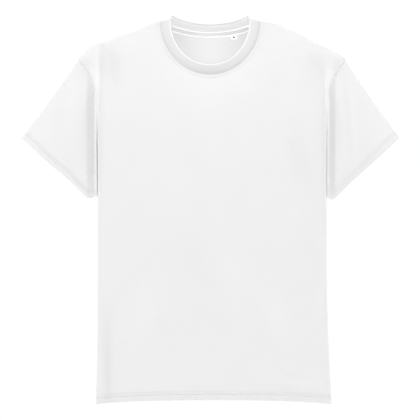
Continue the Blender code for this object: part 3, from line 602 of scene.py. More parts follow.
def sleeve_patch(side):
    """A sleeve's points and faces, with each point's flat place: round it and down it."""
    columns, downs = [], []
    for line in np.moveaxis(sleeve_rings(sleeve_hole(side), side), 1, 0):
        length = np.linalg.norm(np.diff(line, axis=0), axis=1).sum()
        first, last = SEAM_ROWS[-1], length - HEM_LIFTS[-1]
        down = np.concatenate(
            [
                [0],
                SEAM_ROWS,
                np.linspace(first, last, SLEEVE_ROWS + 2)[1:-1],
                length - np.array(HEM_LIFTS[::-1]),
                [length],
            ]
        )
        columns.append(along_line(line, down / length))
        downs.append(down)
    grid, down = np.stack(columns, axis=1), np.stack(downs, axis=1)
    rows, around = grid.shape[:2]
    points = grid.reshape(-1, 3)
    middle = grid.mean(axis=1, keepdims=True)
    faces = facing_out(points, grid_faces(rows, around, True), (grid - middle).reshape(-1, 3))
    places = {"armhole": np.arange(around), "hem": np.arange(around) + (rows - 1) * around}
    step = np.linalg.norm(np.diff(grid[rows // 2], axis=0), axis=1).mean()
    run = np.broadcast_to(np.arange(around) * step, down.shape)
    flat = np.stack([run.ravel(), -down.ravel()], axis=-1)
    return Patch(points, faces, places, flat)


for name, side in SLEEVES.items():
    patches[name] = sleeve_patch(side)
    print(name, len(patches[name].points), "points,", len(patches[name].faces), "faces")

# %% [markdown]
# ## Creases and seams in the fine cloth
#
# Where two pieces are sewn, the stitches pull the cloth down into a narrow groove. A twin-needle
# hem has two such grooves, and the turned-up layer behind it swells the band between them and
# the edge. Between stitches the cloth puckers a little, never twice the same, which a smooth
# noise gives. The groove's depth is worked out from each point's distance to the seam's line.

# %% Sizes of the small relief
SEAM_DIP = 0.0004
SEAM_SOFT = 0.0021  # how wide the dip is
STITCH_DIP = 0.00042
STITCH_SOFT = 0.0009
HEM_STITCHES = (0.0105, 0.0155)  # heights of the twin rows above the hem's edge
NECK_STITCHES = (0.0020, 0.0064)  # distances of the twin rows from the neck seam
HEM_SWELL = 0.00035
SWELL_STEP = 0.0024  # height over which the swelling ends at the top of the hem
PUCKER = 0.00022
PUCKER_SIZE = 0.010
PUCKER_REACH = 0.016
SEAM_PUCKER = 0.8  # how much a seam puckers, beside a hem
SWAY = 0.0006  # broad unevenness of the whole cloth
SWAY_SIZE = 0.075
SWAY_UPRIGHT, PUCKER_UPRIGHT = (1, 1, 0.7), (1, 1, 0.45)  # both are longer up and down
PUCKER_SEED = 7.3
Crease = namedtuple("Crease", "piece face x z end_x end_z width depth")
CREASES = [
    Crease("sleeve_left", "front", 0.252, -0.105, 0.262, -0.250, 0.007, -0.0022),
    Crease("sleeve_left", "front", 0.262, -0.120, 0.274, -0.265, 0.009, 0.0014),
    Crease("sleeve_left", "front", 0.285, -0.150, 0.292, -0.250, 0.012, -0.0010),
    Crease("sleeve_left", "back", 0.255, -0.110, 0.268, -0.260, 0.009, -0.0020),
    Crease("sleeve_left", "back", 0.280, -0.150, 0.296, -0.255, 0.012, -0.0012),
    Crease("sleeve_right", "front", -0.247, -0.120, -0.243, -0.210, 0.007, -0.0020),
    Crease("sleeve_right", "front", -0.258, -0.120, -0.262, -0.240, 0.010, 0.0012),
    Crease("sleeve_right", "front", -0.282, -0.150, -0.300, -0.240, 0.012, -0.0010),
    Crease("sleeve_right", "back", -0.256, -0.110, -0.266, -0.260, 0.009, -0.0020),
    Crease("sleeve_right", "back", -0.284, -0.150, -0.296, -0.250, 0.012, -0.0012),
]
print(len(CREASES), "creases on the sleeves")

# %% How far seams, hems and puckers lift or sink the cloth
def line_distance(points, line):
    """How far each point lies from a line of points."""
    start, run = line[:-1], np.diff(line, axis=0)
    offset = points[:, None] - start
    along = np.clip((offset * run).sum(-1) / np.maximum((run * run).sum(-1), 1e-18), 0, 1)
    return np.linalg.norm(offset - along[..., None] * run, axis=-1).min(axis=1)


def bump(distance, width):
    return np.exp(-((distance / width) ** 2))


def ramp(value, soft):
    """A smooth step from 0 to 1 about as wide as soft."""
    return 1 / (1 + np.exp(-np.clip(4 * value / soft, -50, 50)))


def uneven(points, size, seed):
    """Smooth noise from about -1 to 1, with waves about as long as size."""
    return np.array([noise.noise(place) for place in (points / size + seed).tolist()])


def crease_rise(name, points):
    """How far a sleeve's creases lift each point, on its front or its back."""
    rise = np.zeros(len(points))
    for crease in (crease for crease in CREASES if crease.piece == name):
        facing = points[:, 1] < 0 if crease.face == "front" else points[:, 1] >= 0
        rise += fold_rise(name, points, [Fold(name, *crease[2:])]) * facing
    return rise


def hem_rise(lift):
    """The hem's section: a swollen band with two stitched grooves, and a step at its top."""
    band = ramp(HEM_BAND - lift, SWELL_STEP)
    grooves = sum(bump(lift - height, STITCH_SOFT) for height in HEM_STITCHES)
    return HEM_SWELL * band - STITCH_DIP * grooves


def relief(name, patch, lift, seams, stitched=()):
    """How far each point of a piece rises or sinks, beyond its folds."""
    rise = SWAY * uneven(patch.points * SWAY_UPRIGHT, SWAY_SIZE, len(name))
    rise += hem_rise(lift)
    seam_puckers = np.zeros(len(rise))
    for seam in seams:
        distance = line_distance(patch.points, seam)
        rise -= SEAM_DIP * bump(distance, SEAM_SOFT)
        seam_puckers = np.maximum(seam_puckers, bump(distance, PUCKER_REACH / 2))
    for seam in stitched:
        distance = line_distance(patch.points, seam)
        for reach in NECK_STITCHES:
            rise -= STITCH_DIP * bump(distance - reach, STITCH_SOFT)
    near = np.maximum(bump(lift - HEM_BAND, PUCKER_REACH), seam_puckers * SEAM_PUCKER)
    rise += PUCKER * near * uneven(patch.points * PUCKER_UPRIGHT, PUCKER_SIZE, PUCKER_SEED)
    return rise + crease_rise(name, patch.points)


lifts, seams_of = {}, {}
for panel in PANELS:
    patch = patches[panel]
    lifts[panel] = charts[panel][:, 1] - hem_height(panel, charts[panel][:, 0])
    seams = {edge: places for edge, places in patch.edges.items() if edge != "hem"}
    seams_of[panel] = [patch.points[places] for places in seams.values()]
for name in SLEEVES:
    patch = patches[name]
    around = len(patch.edges["hem"])
    down = -patch.flat[:, 1].reshape(-1, around)
    lifts[name] = (down[-1] - down).ravel()
    hole = patch.points[patch.edges["armhole"]]
    seams_of[name] = [np.concatenate([hole, hole[:1]])]
reliefs = {}
for name, patch in patches.items():
    stitched = [patch.points[patch.edges["neck"]]] if "neck" in patch.edges else []
    reliefs[name] = relief(name, patch, lifts[name], seams_of[name], stitched)
    least, most = (reliefs[name].min() * 1000).round(2), (reliefs[name].max() * 1000).round(2)
    print(name, "relief from", least, "to", most, "mm")

# %% [markdown]
# ## Painted light and shade in the cloth
#
# Even light all round hardly shows a fold in white cloth, because light that bounces inside the
# fold fills it up. So the folds' light and shade is painted into the cloth's colour: every point
# keeps a shade, from -1 for painted shade to 1 for painted light, and the cloth's material mixes
# it in. Most of it comes from the height of the folds, a trough painted deeper and a ridge paler.
# The rest is given one by one: an upright band on either side of the crevice beside each sleeve,
# a pale line along the armhole's seam, narrow strokes, most of them on the shoulders, where small
# folds are pressed together, painted shade round the neckband and towards the hem, and past 1 a
# glow of painted light beside the sleeves.

# %% Give every point its shade
FOLD_SHADE = 30  # painted shade for each metre of a fold's height: deeper in a trough, paler on a ridge
SEAM_LIGHT = 0.7  # painted light right beside an armhole's seam
NECK_SHADE, NECK_REACH = -0.14, 0.028  # painted shade around the neckband, and how far out it fades away
LOW_SHADE, LOW_START, LOW_FADE = -0.08, -0.47, 0.30  # painted shade, darker towards the hem
Band = namedtuple("Band", "piece x_in x_out z_low z_high soft_in soft_out shade")
# Painted shade in the valley beside each sleeve, painted light on the crevice's walls, and on the
# body's side so much painted light that it glows.
BANDS = [
    Band("sleeve_left", 0.2212, 0.2320, -0.325, -0.110, 0.0008, 0.0022, -0.38),
    Band("sleeve_left", 0.2000, 0.2205, -0.350, -0.110, 0.0010, 0.0008, 0.6),
    Band("sleeve_right", 0.2212, 0.2355, -0.325, -0.105, 0.0008, 0.0012, -0.38),
    Band("sleeve_right", 0.2000, 0.2205, -0.350, -0.110, 0.0010, 0.0008, 0.6),
    Band("body", 0.2130, 0.2300, -0.345, -0.110, 0.0025, 0.0010, 2.6),
]
BAND_FADES = (0.03, 0.04)  # length over which a band fades out at its lower and its upper end
STROKES = [  # a stroke is a fold whose depth is painted shade, or painted light where it is positive
    Fold("front", -0.2165, -0.085, -0.2165, -0.140, 0.0035, 0.50),
    Fold("front", -0.2190, -0.052, -0.2165, -0.085, 0.0030, 0.30),
    Fold("front", -0.2080, -0.052, -0.2065, -0.125, 0.0060, -0.26),
    Fold("front", -0.1960, -0.045, -0.1900, -0.110, 0.0120, -0.10),
    Fold("front", -0.2120, -0.046, -0.1990, -0.062, 0.0040, -0.16),
    Fold("front", -0.1970, -0.570, -0.1930, -0.745, 0.0100, -0.14),
    Fold("front", 0.2060, -0.075, 0.2090, -0.130, 0.0050, -0.10),
    Fold("front", 0.1850, -0.050, 0.1990, -0.100, 0.0140, -0.08),
    Fold("back", -0.2080, -0.060, -0.2065, -0.125, 0.0060, -0.16),
    Fold("back", 0.2080, -0.060, 0.2065, -0.125, 0.0060, -0.16),
]


def band_shade(piece, points):
    """The painted shade and painted light of the upright bands at each point."""
    shade = np.zeros(len(points))
    out, height = np.abs(points[:, 0]), points[:, 2]
    for band in (band for band in BANDS if band.piece == piece):
        across = ramp(out - band.x_in, band.soft_in) * ramp(band.x_out - out, band.soft_out)
        up = ramp(height - band.z_low, BAND_FADES[0]) * ramp(band.z_high - height, BAND_FADES[1])
        shade += band.shade * across * up
    return shade


# each piece's painted shade and painted light, point by point
shades = {}
for name, patch in patches.items():
    points = patch.points
    if name in charts:
        fold_height = fold_rise(name, points)
        shades[name] = band_shade("body", points) + fold_rise(name, points, STROKES)
        neck = points[patch.edges["neck"]]
        shades[name] += NECK_SHADE * bump(line_distance(points, neck), NECK_REACH)
        shades[name] += LOW_SHADE * ramp(LOW_START - points[:, 2], LOW_FADE)
    else:
        fold_height = crease_rise(name, points)
        shades[name] = band_shade(name, points)
    shades[name] += FOLD_SHADE * fold_height
    for edge, places in patch.edges.items():
        if edge.startswith("armhole"):
            shades[name] += SEAM_LIGHT * bump(line_distance(points, points[places]), SEAM_SOFT)
    print(name, "shade from", shades[name].min().round(2), "to", shades[name].max().round(2))

# %% [markdown]
# ## The neckband
#
# The neckband is a loop of rib, folded double and stretched a little so that it stands up. It
# leans in over the shoulders and stands steeper at the front and back. Its outer face is a strip
# from the neck seam to its fold.

# %% The neckband's strip
RIB_WIDTH = 0.0208
Lean = namedtuple("Lean", "bearing inward_x inward_y up")
RIB_LEANS = [
    Lean(0, 0.0, 0.0030, 0.0205),
    Lean(45, 0.0130, 0.0065, 0.0145),
    Lean(70, 0.0190, 0.0045, 0.0090),
    Lean(90, 0.0205, 0.0005, 0.0040),
    Lean(104, 0.0170, 0.0, 0.0090),
    Lean(118, 0.0100, -0.0020, 0.0180),
    Lean(134, 0.0060, -0.0090, 0.0175),
    Lean(155, 0.0035, -0.0120, 0.0160),
    Lean(180, 0.0, -0.0130, 0.0160),
]


def rib_leans(ring, front_count):
    """From each point of the neck seam to the neckband's top edge."""
    share = np.clip((ring[:, 0] - NECK_MIDDLE) / NECK_HALF_WIDTH, -1, 1)
    fore = np.where(np.arange(len(ring)) < front_count, 1, -1)
    bearing = np.degrees(np.arctan2(np.abs(share), fore * np.sqrt(1 - share**2)))
    places = [lean.bearing for lean in RIB_LEANS]
    x, y, z = (
        smooth_through(places, [getattr(lean, name) for lean in RIB_LEANS], bearing)
        for name in ("inward_x", "inward_y", "up")
    )
    return unit(np.stack([-np.sign(share) * x, y, z], axis=-1)) * RIB_WIDTH


neck_front = patches["front"].points[patches["front"].edges["neck"]]
neck_back = patches["back"].points[patches["back"].edges["neck"]][::-1]
neck_ring = np.concatenate([neck_front, neck_back[1:-1]])
rib_lean = rib_leans(neck_ring, len(neck_front))
rib_points = np.concatenate([neck_ring, neck_ring + rib_lean * 0.5, neck_ring + rib_lean])
rib_count = len(neck_ring)
rib_out = np.tile(neck_ring * (1, 1, 0), (3, 1)) + (0, 0, NECK_HALF_WIDTH / 2)
rib_faces = facing_out(rib_points, grid_faces(3, rib_count, True), rib_out)
patches["neck_rib"] = Patch(rib_points, rib_faces, {"neck": np.arange(rib_count)}, None)
ring_length = np.linalg.norm(np.roll(neck_ring, -1, axis=0) - neck_ring, axis=1).sum()
print("neck seam", round(float(ring_length), 3), "m")

# %% [markdown]
# ## From outer points to cloth with a thickness
#
# Every wall has an outer and an inner face. Solidify would do for one piece alone, but two
# pieces that meet at a seam then gape or run through each other. So along a seam both pieces
# go inwards in the same direction, the mean of their normals, weighted by how much of the turn
# round the point each one fills. That is a mitre, as in a picture frame.

# %% The directions that pieces share along a seam
CLOTH = 0.0011
HEM_EXTRA = 0.0008  # the turned-up layer
LAYER_STEP = 0.0020  # height over which that layer ends
MOST_MITRE = 3.2
HEM_ROUND = 0.45  # how far a hem's folded edge bulges, in thicknesses


def rim_steps(faces):
    """The patch's open edges as (from, to), in the order that its faces turn."""
    pairs = zip(faces.T, np.roll(faces.T, -1, axis=0))
    sides = np.concatenate([np.stack(pair, axis=-1) for pair in pairs])
    size = faces.max() + 1
    forth, back = sides[:, 0] * size + sides[:, 1], sides[:, 1] * size + sides[:, 0]
    return sides[~np.isin(forth, back)]


def closed_sheet(faces, count):
    """Faces of a thin closed sheet, whose back has the same points again, count places on."""
    walls = [[b, a, a + count, b + count] for a, b in rim_steps(faces).tolist()]
    return faces.tolist() + (faces[:, ::-1] + count).tolist() + walls


def point_key(point):
    """A point as whole micrometres, so that the same place in two pieces is found again."""
    return tuple(int(round(value)) for value in point / 1e-6)


def corner_angles(points, faces):
    """How much of the turn round each point its faces fill."""
    angles = np.zeros(len(points))
    for before, corner, after in zip(np.roll(faces.T, 1, 0), faces.T, np.roll(faces.T, -1, 0)):
        a, b = unit(points[before] - points[corner]), unit(points[after] - points[corner])
        np.add.at(angles, corner, np.arccos(np.clip((a * b).sum(-1), -1, 1)))
    return angles


normals = {name: patch_normals(patch.points, patch.faces) for name, patch in patches.items()}
rims = {name: rim_steps(patch.faces) for name, patch in patches.items()}
totals = {}
for name, patch in patches.items():
    angles = corner_angles(patch.points, patch.faces)
    for place in sorted({int(a) for a, b in rims[name]}):
        key = point_key(patch.points[place])
        totals[key] = totals.get(key, 0) + normals[name][place] * angles[place]
shared = {key: unit(total) for key, total in totals.items()}
print(len(shared), "points on open edges")

# %% Mitred walls
def wall_points(name, thickness):
    """Outer and inner points of a piece's wall, and the places along its hem's free edge."""
    patch, normal = patches[name], normals[name]
    outer = patch.points + normal * reliefs[name][:, None]
    inner = outer - normal * thickness[:, None]
    free = set(patch.edges["hem"].tolist()) if "hem" in patch.edges else set()
    sewn = {int(c) for a, b in rims[name] if not (a in free and b in free) for c in (a, b)}
    for place in sewn:
        direction = shared[point_key(patch.points[place])]
        lean = max(float(direction @ normal[place]), 1 / MOST_MITRE)
        outer[place] = patch.points[place] - direction * SEAM_DIP
        inner[place] = outer[place] - direction * thickness[place] / lean
    return outer, inner, free


def wall_faces(name, outer, inner, free):
    """Points and faces of the closed wall, with a rounded edge along a hem, and which of the
    points are at the middle of that edge."""
    patch, count = patches[name], len(outer)
    points = [outer, inner]
    faces = patch.faces.tolist() + (patch.faces[:, ::-1] + count).tolist()
    middle_of = {}
    if free:
        inside = np.isin(patch.faces, list(free)).any(axis=1)
        centres = {}
        for face in patch.faces[inside]:
            for corner in set(face.tolist()) & free:
                centres.setdefault(corner, []).append(outer[face].mean(axis=0))
        extra = []
        for place in sorted(free):
            normal = normals[name][place]
            away = outer[place] - np.mean(centres[place], axis=0)
            away = unit(away - (away @ normal) * normal)
            deep = np.linalg.norm(outer[place] - inner[place])
            middle_of[place] = 2 * count + len(extra)
            extra.append((outer[place] + inner[place]) / 2 + away * deep * HEM_ROUND)
        points.append(np.array(extra))
    for a, b in rims[name].tolist():
        if a in free and b in free:
            faces.append([b, a, middle_of[a], middle_of[b]])
            faces.append([middle_of[b], middle_of[a], a + count, b + count])
            continue
        edge = [b, a] + ([middle_of[a]] if a in free else []) + [a + count, b + count]
        faces.append(edge + ([middle_of[b]] if b in free else []))
    return np.concatenate(points), faces, middle_of


print("cloth", CLOTH * 1000, "mm thick, and", round((CLOTH + HEM_EXTRA) * 1000, 1), "at a hem")

# %% [markdown]
# ## The jersey
#
# Single jersey shows fine columns of little V stitches on its face. On a white shirt their
# colour never changes, only their height, so the knit goes into a bump that follows the cloth's
# own flat measure, kept as a UV map in metres. A soft fuzz over it scatters light at the edges,
# which sheen gives, and the white is a little uneven, as bleached cotton is. The wrong side, seen
# inside the neck, is smoother, and set paler: painted light for what the thin cloth lets through.
# The rib is set darker than the jersey, painted shade for the shadow in its close furrows, and the
# tape, the bright thread and the tab glow a little: painted light, lifting them inside the neck.

# %% The knit's height, from the cloth's flat measure
WALE = 0.00085  # width of a column of stitches
COURSE = 0.00070  # height of a row
LEGS, FURROWS = 0.5, 8.0  # how much each counts in the height of the stitches
TIGHT_ROWS = 0.3  # and how much the rows of a tight knit count


def node(tree, kind, **settings):
    """A node of a tree with its settings, and its inputs given by name or number."""
    made = tree.nodes.new(kind)
    for name, value in settings.items():
        if name == "inputs":
            for key, given in value.items():
                if hasattr(given, "is_output"):
                    tree.links.new(given, made.inputs[key])
                else:
                    made.inputs[key].default_value = given
        else:
            setattr(made, name, value)
    return made


def maths(tree, operation, *values):
    made = node(tree, "ShaderNodeMath", operation=operation, inputs=dict(enumerate(values)))
    return made.outputs[0]


def grey(tone):
    return (tone, tone, tone, 1)


def jersey_knit(tree, across, up):
    """Columns of V stitches: each leg slants up and out from the middle of its column."""
    column = maths(tree, "DIVIDE", across, WALE)
    off = maths(tree, "ABSOLUTE", maths(tree, "SUBTRACT", maths(tree, "FRACT", column), 0.5))
    row = maths(tree, "SUBTRACT", maths(tree, "DIVIDE", up, COURSE), off)
    legs = maths(tree, "ABSOLUTE", maths(tree, "SINE", maths(tree, "MULTIPLY", row, math.pi)))
    legs = maths(tree, "MULTIPLY", legs, LEGS)
    furrow = maths(tree, "MULTIPLY", maths(tree, "SUBTRACT", 0.5, off), off)
    return maths(tree, "ADD", legs, maths(tree, "MULTIPLY", furrow, FURROWS))


def tight_knit(tree, across, up):
    """Rows too fine to read as stitches, on the rib and the tape."""
    row = maths(tree, "SINE", maths(tree, "MULTIPLY", up, 2 * math.pi / COURSE))
    return maths(tree, "MULTIPLY", row, TIGHT_ROWS)


print("a column of stitches is", WALE * 1000, "mm wide")

# %% Materials for jersey, rib, tape and thread
CLOTH_GLOW = 0.0016  # how deep light wanders in the cloth before it comes out again
FUZZ = 0.6  # how much the fuzz counts beside the knit's height


def cloth_material(name, light, dark, knit, depth, roughness=0.9, sheen=0.12, painted_glow=0.0):
    """Cotton: a white that wanders between two tones, soft sheen, light let through a little way,
    a bump made by knit from the cloth's flat measure, and a glow of painted light."""
    material = bpy.data.materials.new(name)
    material.use_nodes = True
    tree = material.node_tree
    shader = tree.nodes["Principled BSDF"]
    shader.inputs["Roughness"].default_value = roughness
    shader.inputs["Sheen Weight"].default_value = sheen
    shader.inputs["Sheen Roughness"].default_value = 0.5
    shader.inputs["Specular IOR Level"].default_value = 0.25
    shader.inputs["Subsurface Weight"].default_value = 1.0
    shader.inputs["Subsurface Radius"].default_value = (1.0, 1.0, 1.0)
    shader.inputs["Subsurface Scale"].default_value = CLOTH_GLOW
    # The emission is painted light: a glow that no lamp gives.
    shader.inputs["Emission Color"].default_value = grey(1.0)
    shader.inputs["Emission Strength"].default_value = painted_glow
    place = node(tree, "ShaderNodeTexCoord").outputs["Object"]
    wander = {"Vector": place, "Scale": 22.0, "Detail": 4.0, "Roughness": 0.6}
    blotch = node(tree, "ShaderNodeTexNoise", inputs=wander)
    colour = node(tree, "ShaderNodeMix", data_type="RGBA")
    tree.links.new(blotch.outputs["Fac"], colour.inputs[0])
    colour.inputs[6].default_value = grey(dark)
    colour.inputs[7].default_value = grey(light)
    tree.links.new(colour.outputs[2], shader.inputs["Base Color"])
    flat = node(tree, "ShaderNodeUVMap", uv_map="flat").outputs["UV"]
    split = node(tree, "ShaderNodeSeparateXYZ", inputs={0: flat})
    height = knit(tree, split.outputs[0], split.outputs[1])
    fine = {"Vector": place, "Scale": 420.0, "Detail": 3.0}
    fuzz = node(tree, "ShaderNodeTexNoise", inputs=fine).outputs["Fac"]
    total = maths(tree, "MULTIPLY_ADD", fuzz, FUZZ, height)
    raise_by = {"Height": total, "Distance": depth, "Strength": 0.6}
    raised = node(tree, "ShaderNodeBump", inputs=raise_by)
    tree.links.new(raised.outputs["Normal"], shader.inputs["Normal"])
    return material


def shaded(material, deep, pale, glow=0.0):
    """Mixes a deep and a pale tone into the cloth, as its points' shade asks, from -1 to 1:
    painted shade and painted light. Past 1 the cloth also glows, more the further past: painted
    light."""
    tree = material.node_tree
    shader = tree.nodes["Principled BSDF"]
    colour = shader.inputs["Base Color"].links[0].from_socket
    shade = node(tree, "ShaderNodeAttribute", attribute_name="shade").outputs["Fac"]
    for tone, side in ((deep, -1.0), (pale, 1.0)):
        share = maths(tree, "MULTIPLY", shade, side)
        share = node(tree, "ShaderNodeClamp", inputs={"Value": share}).outputs[0]
        mix = node(tree, "ShaderNodeMix", data_type="RGBA")
        tree.links.new(share, mix.inputs[0])
        tree.links.new(colour, mix.inputs[6])
        mix.inputs[7].default_value = grey(tone)
        colour = mix.outputs[2]
    tree.links.new(colour, shader.inputs["Base Color"])
    if glow:
        past = maths(tree, "MAXIMUM", maths(tree, "SUBTRACT", shade, 1.0), 0.0)
        tree.links.new(maths(tree, "MULTIPLY", past, glow), shader.inputs["Emission Strength"])


JERSEY = cloth_material("jersey", light=0.86, dark=0.84, knit=jersey_knit, depth=0.00022)
# painted shade and painted light from each point's shade, and past 1 a glow of painted light
shaded(JERSEY, deep=0.62, pale=0.98, glow=0.045)
# the inner faces are set paler: painted light for what the thin cloth lets through
WRONG_SIDE = cloth_material(
    "jersey_inside", light=0.98, dark=0.965, knit=tight_knit, depth=0.00022
)
# the rib's darker white is painted shade for its close furrows; its rows mix in painted shade and
# light
RIB = cloth_material("rib", light=0.705, dark=0.675, knit=tight_knit, depth=0.00018)
shaded(RIB, deep=0.48, pale=0.97)
# the tape's glow is painted light, which lifts it in the shade under the neckband
TAPE = cloth_material(
    "tape", light=0.95, dark=0.93, knit=tight_knit, depth=0.00018, sheen=0.10, painted_glow=0.06
)
SMOOTH_YARN = {"knit": tight_knit, "roughness": 0.6, "sheen": 0.05}
THREAD = cloth_material("thread", light=0.93, dark=0.91, depth=0.00005, **SMOOTH_YARN)
# the thread's glow is painted light: the bright lines along the tape
BRIGHT_THREAD = cloth_material(
    "bright_thread", light=0.97, dark=0.96, depth=0.00005, painted_glow=0.5, **SMOOTH_YARN
)
print([material.name for material in bpy.data.materials])

# %% [markdown]
# ## Making the panels and sleeves
#
# With the points, walls and jersey in hand, each panel and sleeve becomes one closed mesh. Its
# flat measure is kept as a UV map, so that the knit runs straight up the panel and down the
# sleeve, as it was cut. Its inner faces take the wrong side's material, and its points keep their
# shade.

# %% Make a mesh with its flat measure
SHARP_ANGLE = 50  # degrees, past which an edge isn't shaded smooth
shirt = {}


def make_object(name, points, faces, material, flat=None, turn=None):
    """A mesh object from points and faces. flat gives each point's flat place, and turn is the
    flat width of a tube, for the faces that close it."""
    mesh = bpy.data.meshes.new(name)
    mesh.from_pydata(np.asarray(points).tolist(), [], faces)
    mesh.shade_smooth()
    mesh.set_sharp_from_angle(angle=math.radians(SHARP_ANGLE))
    if flat is not None:
        corner = np.zeros(len(mesh.loops), int)
        mesh.loops.foreach_get("vertex_index", corner)
        places = flat[corner]
        if turn:
            starts = np.zeros(len(mesh.polygons), int)
            mesh.polygons.foreach_get("loop_start", starts)
            owner = np.repeat(np.arange(len(starts)), np.diff(np.append(starts, len(corner))))
            most = np.zeros(len(starts))
            np.maximum.at(most, owner, places[:, 0])
            places[:, 0] += turn * (most[owner] - places[:, 0] > turn / 2)
        layer = mesh.uv_layers.new(name="flat")
        layer.data.foreach_set("uv", places.ravel().astype(np.float32))
    mesh.materials.append(material)
    made = bpy.data.objects.new(name, mesh)
    bpy.context.scene.collection.objects.link(made)
    shirt[name] = made
    return made


def give_value(obj, name, values, kind="FLOAT"):
    """An attribute of an object's points."""
    attribute = obj.data.attributes.new(name, kind, "POINT")
    key = "vector" if kind == "FLOAT_VECTOR" else "value"
    attribute.data.foreach_set(key, np.asarray(values, np.float32).ravel())


print("an edge past", SHARP_ANGLE, "degrees stays sharp")

# %% Put the sewn pieces together
def cloth_area(name):
    """The area of a piece's outer face."""
    patch = patches[name]
    return float(np.linalg.norm(face_normals(patch.points, patch.faces), axis=1).sum() / 2)


outers, inners = {}, {}
for name in (*PANELS, *SLEEVES):
    patch = patches[name]
    thickness = CLOTH + HEM_EXTRA * ramp(HEM_BAND - lifts[name], LAYER_STEP)
    outer, inner, free = wall_points(name, thickness)
    outers[name], inners[name] = outer, inner
    points, faces, middle_of = wall_faces(name, outer, inner, free)
    flat = np.concatenate([patch.flat, patch.flat, patch.flat[sorted(middle_of)]])
    turn = None
    if "sleeve" in name:
        around = len(patch.edges["hem"])
        turn = patch.flat[:around, 0].max() / (around - 1) * around
    made = make_object(name + "_cloth", points, faces, JERSEY, flat, turn)
    made.data.materials.append(WRONG_SIDE)
    sides = np.zeros(len(faces), np.int32)
    sides[len(patch.faces) : 2 * len(patch.faces)] = 1
    made.data.polygons.foreach_set("material_index", sides)
    # the points keep their painted shade and light, which the material mixes in
    edge_shade = shades[name][sorted(middle_of)]
    give_value(made, "shade", np.concatenate([shades[name], shades[name], edge_shade]))
    print(name, "cloth", round(cloth_area(name), 4), "m2,", len(faces), "faces")

# %% [markdown]
# ## The neckband's wales
#
# Rib is knitted in upright ridges, called wales, with furrows between them. There are over three
# hundred round this neck, all alike, so they are a job for Geometry Nodes: the band is made
# smooth with enough points for each wale, every point knows how far round it lies, and one small
# tree lifts it by a wave of that share. The band's section is a table from the seam up the outer
# face, over the folded edge and down the inner face, with a painted shade for each row: a thin
# pale line of painted light just below that edge, a dark line of painted shade along it, and
# painted light on the inner face.

# %% The band's section
RIB_FINER = 18  # points round the band for each point of the neck seam
WALES = 336
WALE_DEPTH = 0.00016
RIB_SIDE_LIGHT = 0.25  # painted light: how much paler the band is at its sides
Row = namedtuple("Row", "share out wale shade")
RIB_PROFILE = [
    # share of the band's width, how far out, how much of a wale's depth, and its painted shade,
    # from deep to pale
    Row(0.06, -0.00045, 0.5, -0.20),
    Row(0.14, -0.00008, 0.9, -0.10),
    Row(0.28, 0.00020, 1.0, -0.05),
    Row(0.45, 0.00030, 1.0, 0.0),
    Row(0.62, 0.00028, 1.0, 0.0),
    Row(0.80, 0.00008, 1.0, 0.05),
    Row(0.85, -0.00005, 1.0, 0.35),
    Row(0.89, -0.00016, 1.0, 0.75),
    Row(0.93, -0.00032, 1.0, 0.6),
    Row(0.96, -0.00055, 0.9, -0.5),
    Row(1.0, -0.00120, 0.8, -1.0),  # the folded edge
    Row(0.975, -0.00172, 0.9, -0.2),
    Row(0.91, -0.00218, 1.0, 0.6),
    Row(0.80, -0.00245, 1.0, 0.75),
    Row(0.55, -0.00255, 1.0, 0.75),
    Row(0.28, -0.00230, 1.0, 0.9),
    Row(0.12, -0.00165, 1.0, 1.0),
]
SEAM_SHADES = (-0.3, 0.9)  # painted shade of the seam's outer edge and painted light of its inner edge
SEAM_WALES = (0.0, 0.3)  # and how much of a wale's depth they have
print(len(RIB_PROFILE), "rows of points up and over the band")

# %% [markdown]
# A Geometry Nodes tree is built like a recipe: inputs with names, a few steps, and an end that
# makes every instance real and gives the whole its material. Here the steps are a sine wave of
# the share that each point keeps, and a move along the normal by that wave. Three helpers hold
# what every such tree needs, because the stitches will want them too, and a fourth runs a tree
# and keeps what it makes as a plain mesh.

# %% The tree that raises the wales
def new_tree(name, **kinds):
    """A Geometry Nodes tree that takes a geometry and inputs of these kinds, and its inputs."""
    tree = bpy.data.node_groups.new(name, "GeometryNodeTree")
    for socket, kind in {"Geometry": "Geometry", **kinds, "Material": "Material"}.items():
        tree.interface.new_socket(socket, in_out="INPUT", socket_type="NodeSocket" + kind)
    tree.interface.new_socket("Geometry", in_out="OUTPUT", socket_type="NodeSocketGeometry")
    return tree, node(tree, "NodeGroupInput").outputs


def end_tree(tree, geometry, material):
    """Ends a tree: its instances are realized and take their material."""
    whole = node(tree, "GeometryNodeRealizeInstances", inputs={0: geometry}).outputs[0]
    smooth = node(tree, "GeometryNodeSetShadeSmooth", inputs={0: whole}).outputs[0]
    given = {"Geometry": smooth, "Material": material}
    dressed = node(tree, "GeometryNodeSetMaterial", inputs=given).outputs[0]
    node(tree, "NodeGroupOutput", inputs={0: dressed})


def kept_value(tree, name, kind="FLOAT"):
    """A value that the points keep under a name."""
    kept = node(tree, "GeometryNodeInputNamedAttribute", data_type=kind, inputs={"Name": name})
    return kept.outputs["Attribute"]


def wales_tree():
    """Geometry Nodes that raise a band's wales."""
    tree, given = new_tree("wales", Wales="Int", Depth="Float")
    turns = maths(tree, "MULTIPLY", kept_value(tree, "around"), given["Wales"])
    wave = maths(tree, "SINE", maths(tree, "MULTIPLY", turns, 2 * math.pi))
    share = maths(tree, "MULTIPLY", wave, kept_value(tree, "amount"))
    rise = maths(tree, "MULTIPLY", share, given["Depth"])
    normal = node(tree, "GeometryNodeInputNormal").outputs[0]
    move = node(tree, "ShaderNodeVectorMath", operation="SCALE", inputs={0: normal, "Scale": rise})
    moves = {"Geometry": given["Geometry"], "Offset": move.outputs[0]}
    moved = node(tree, "GeometryNodeSetPosition", inputs=moves)
    end_tree(tree, moved.outputs[0], given["Material"])
    return tree


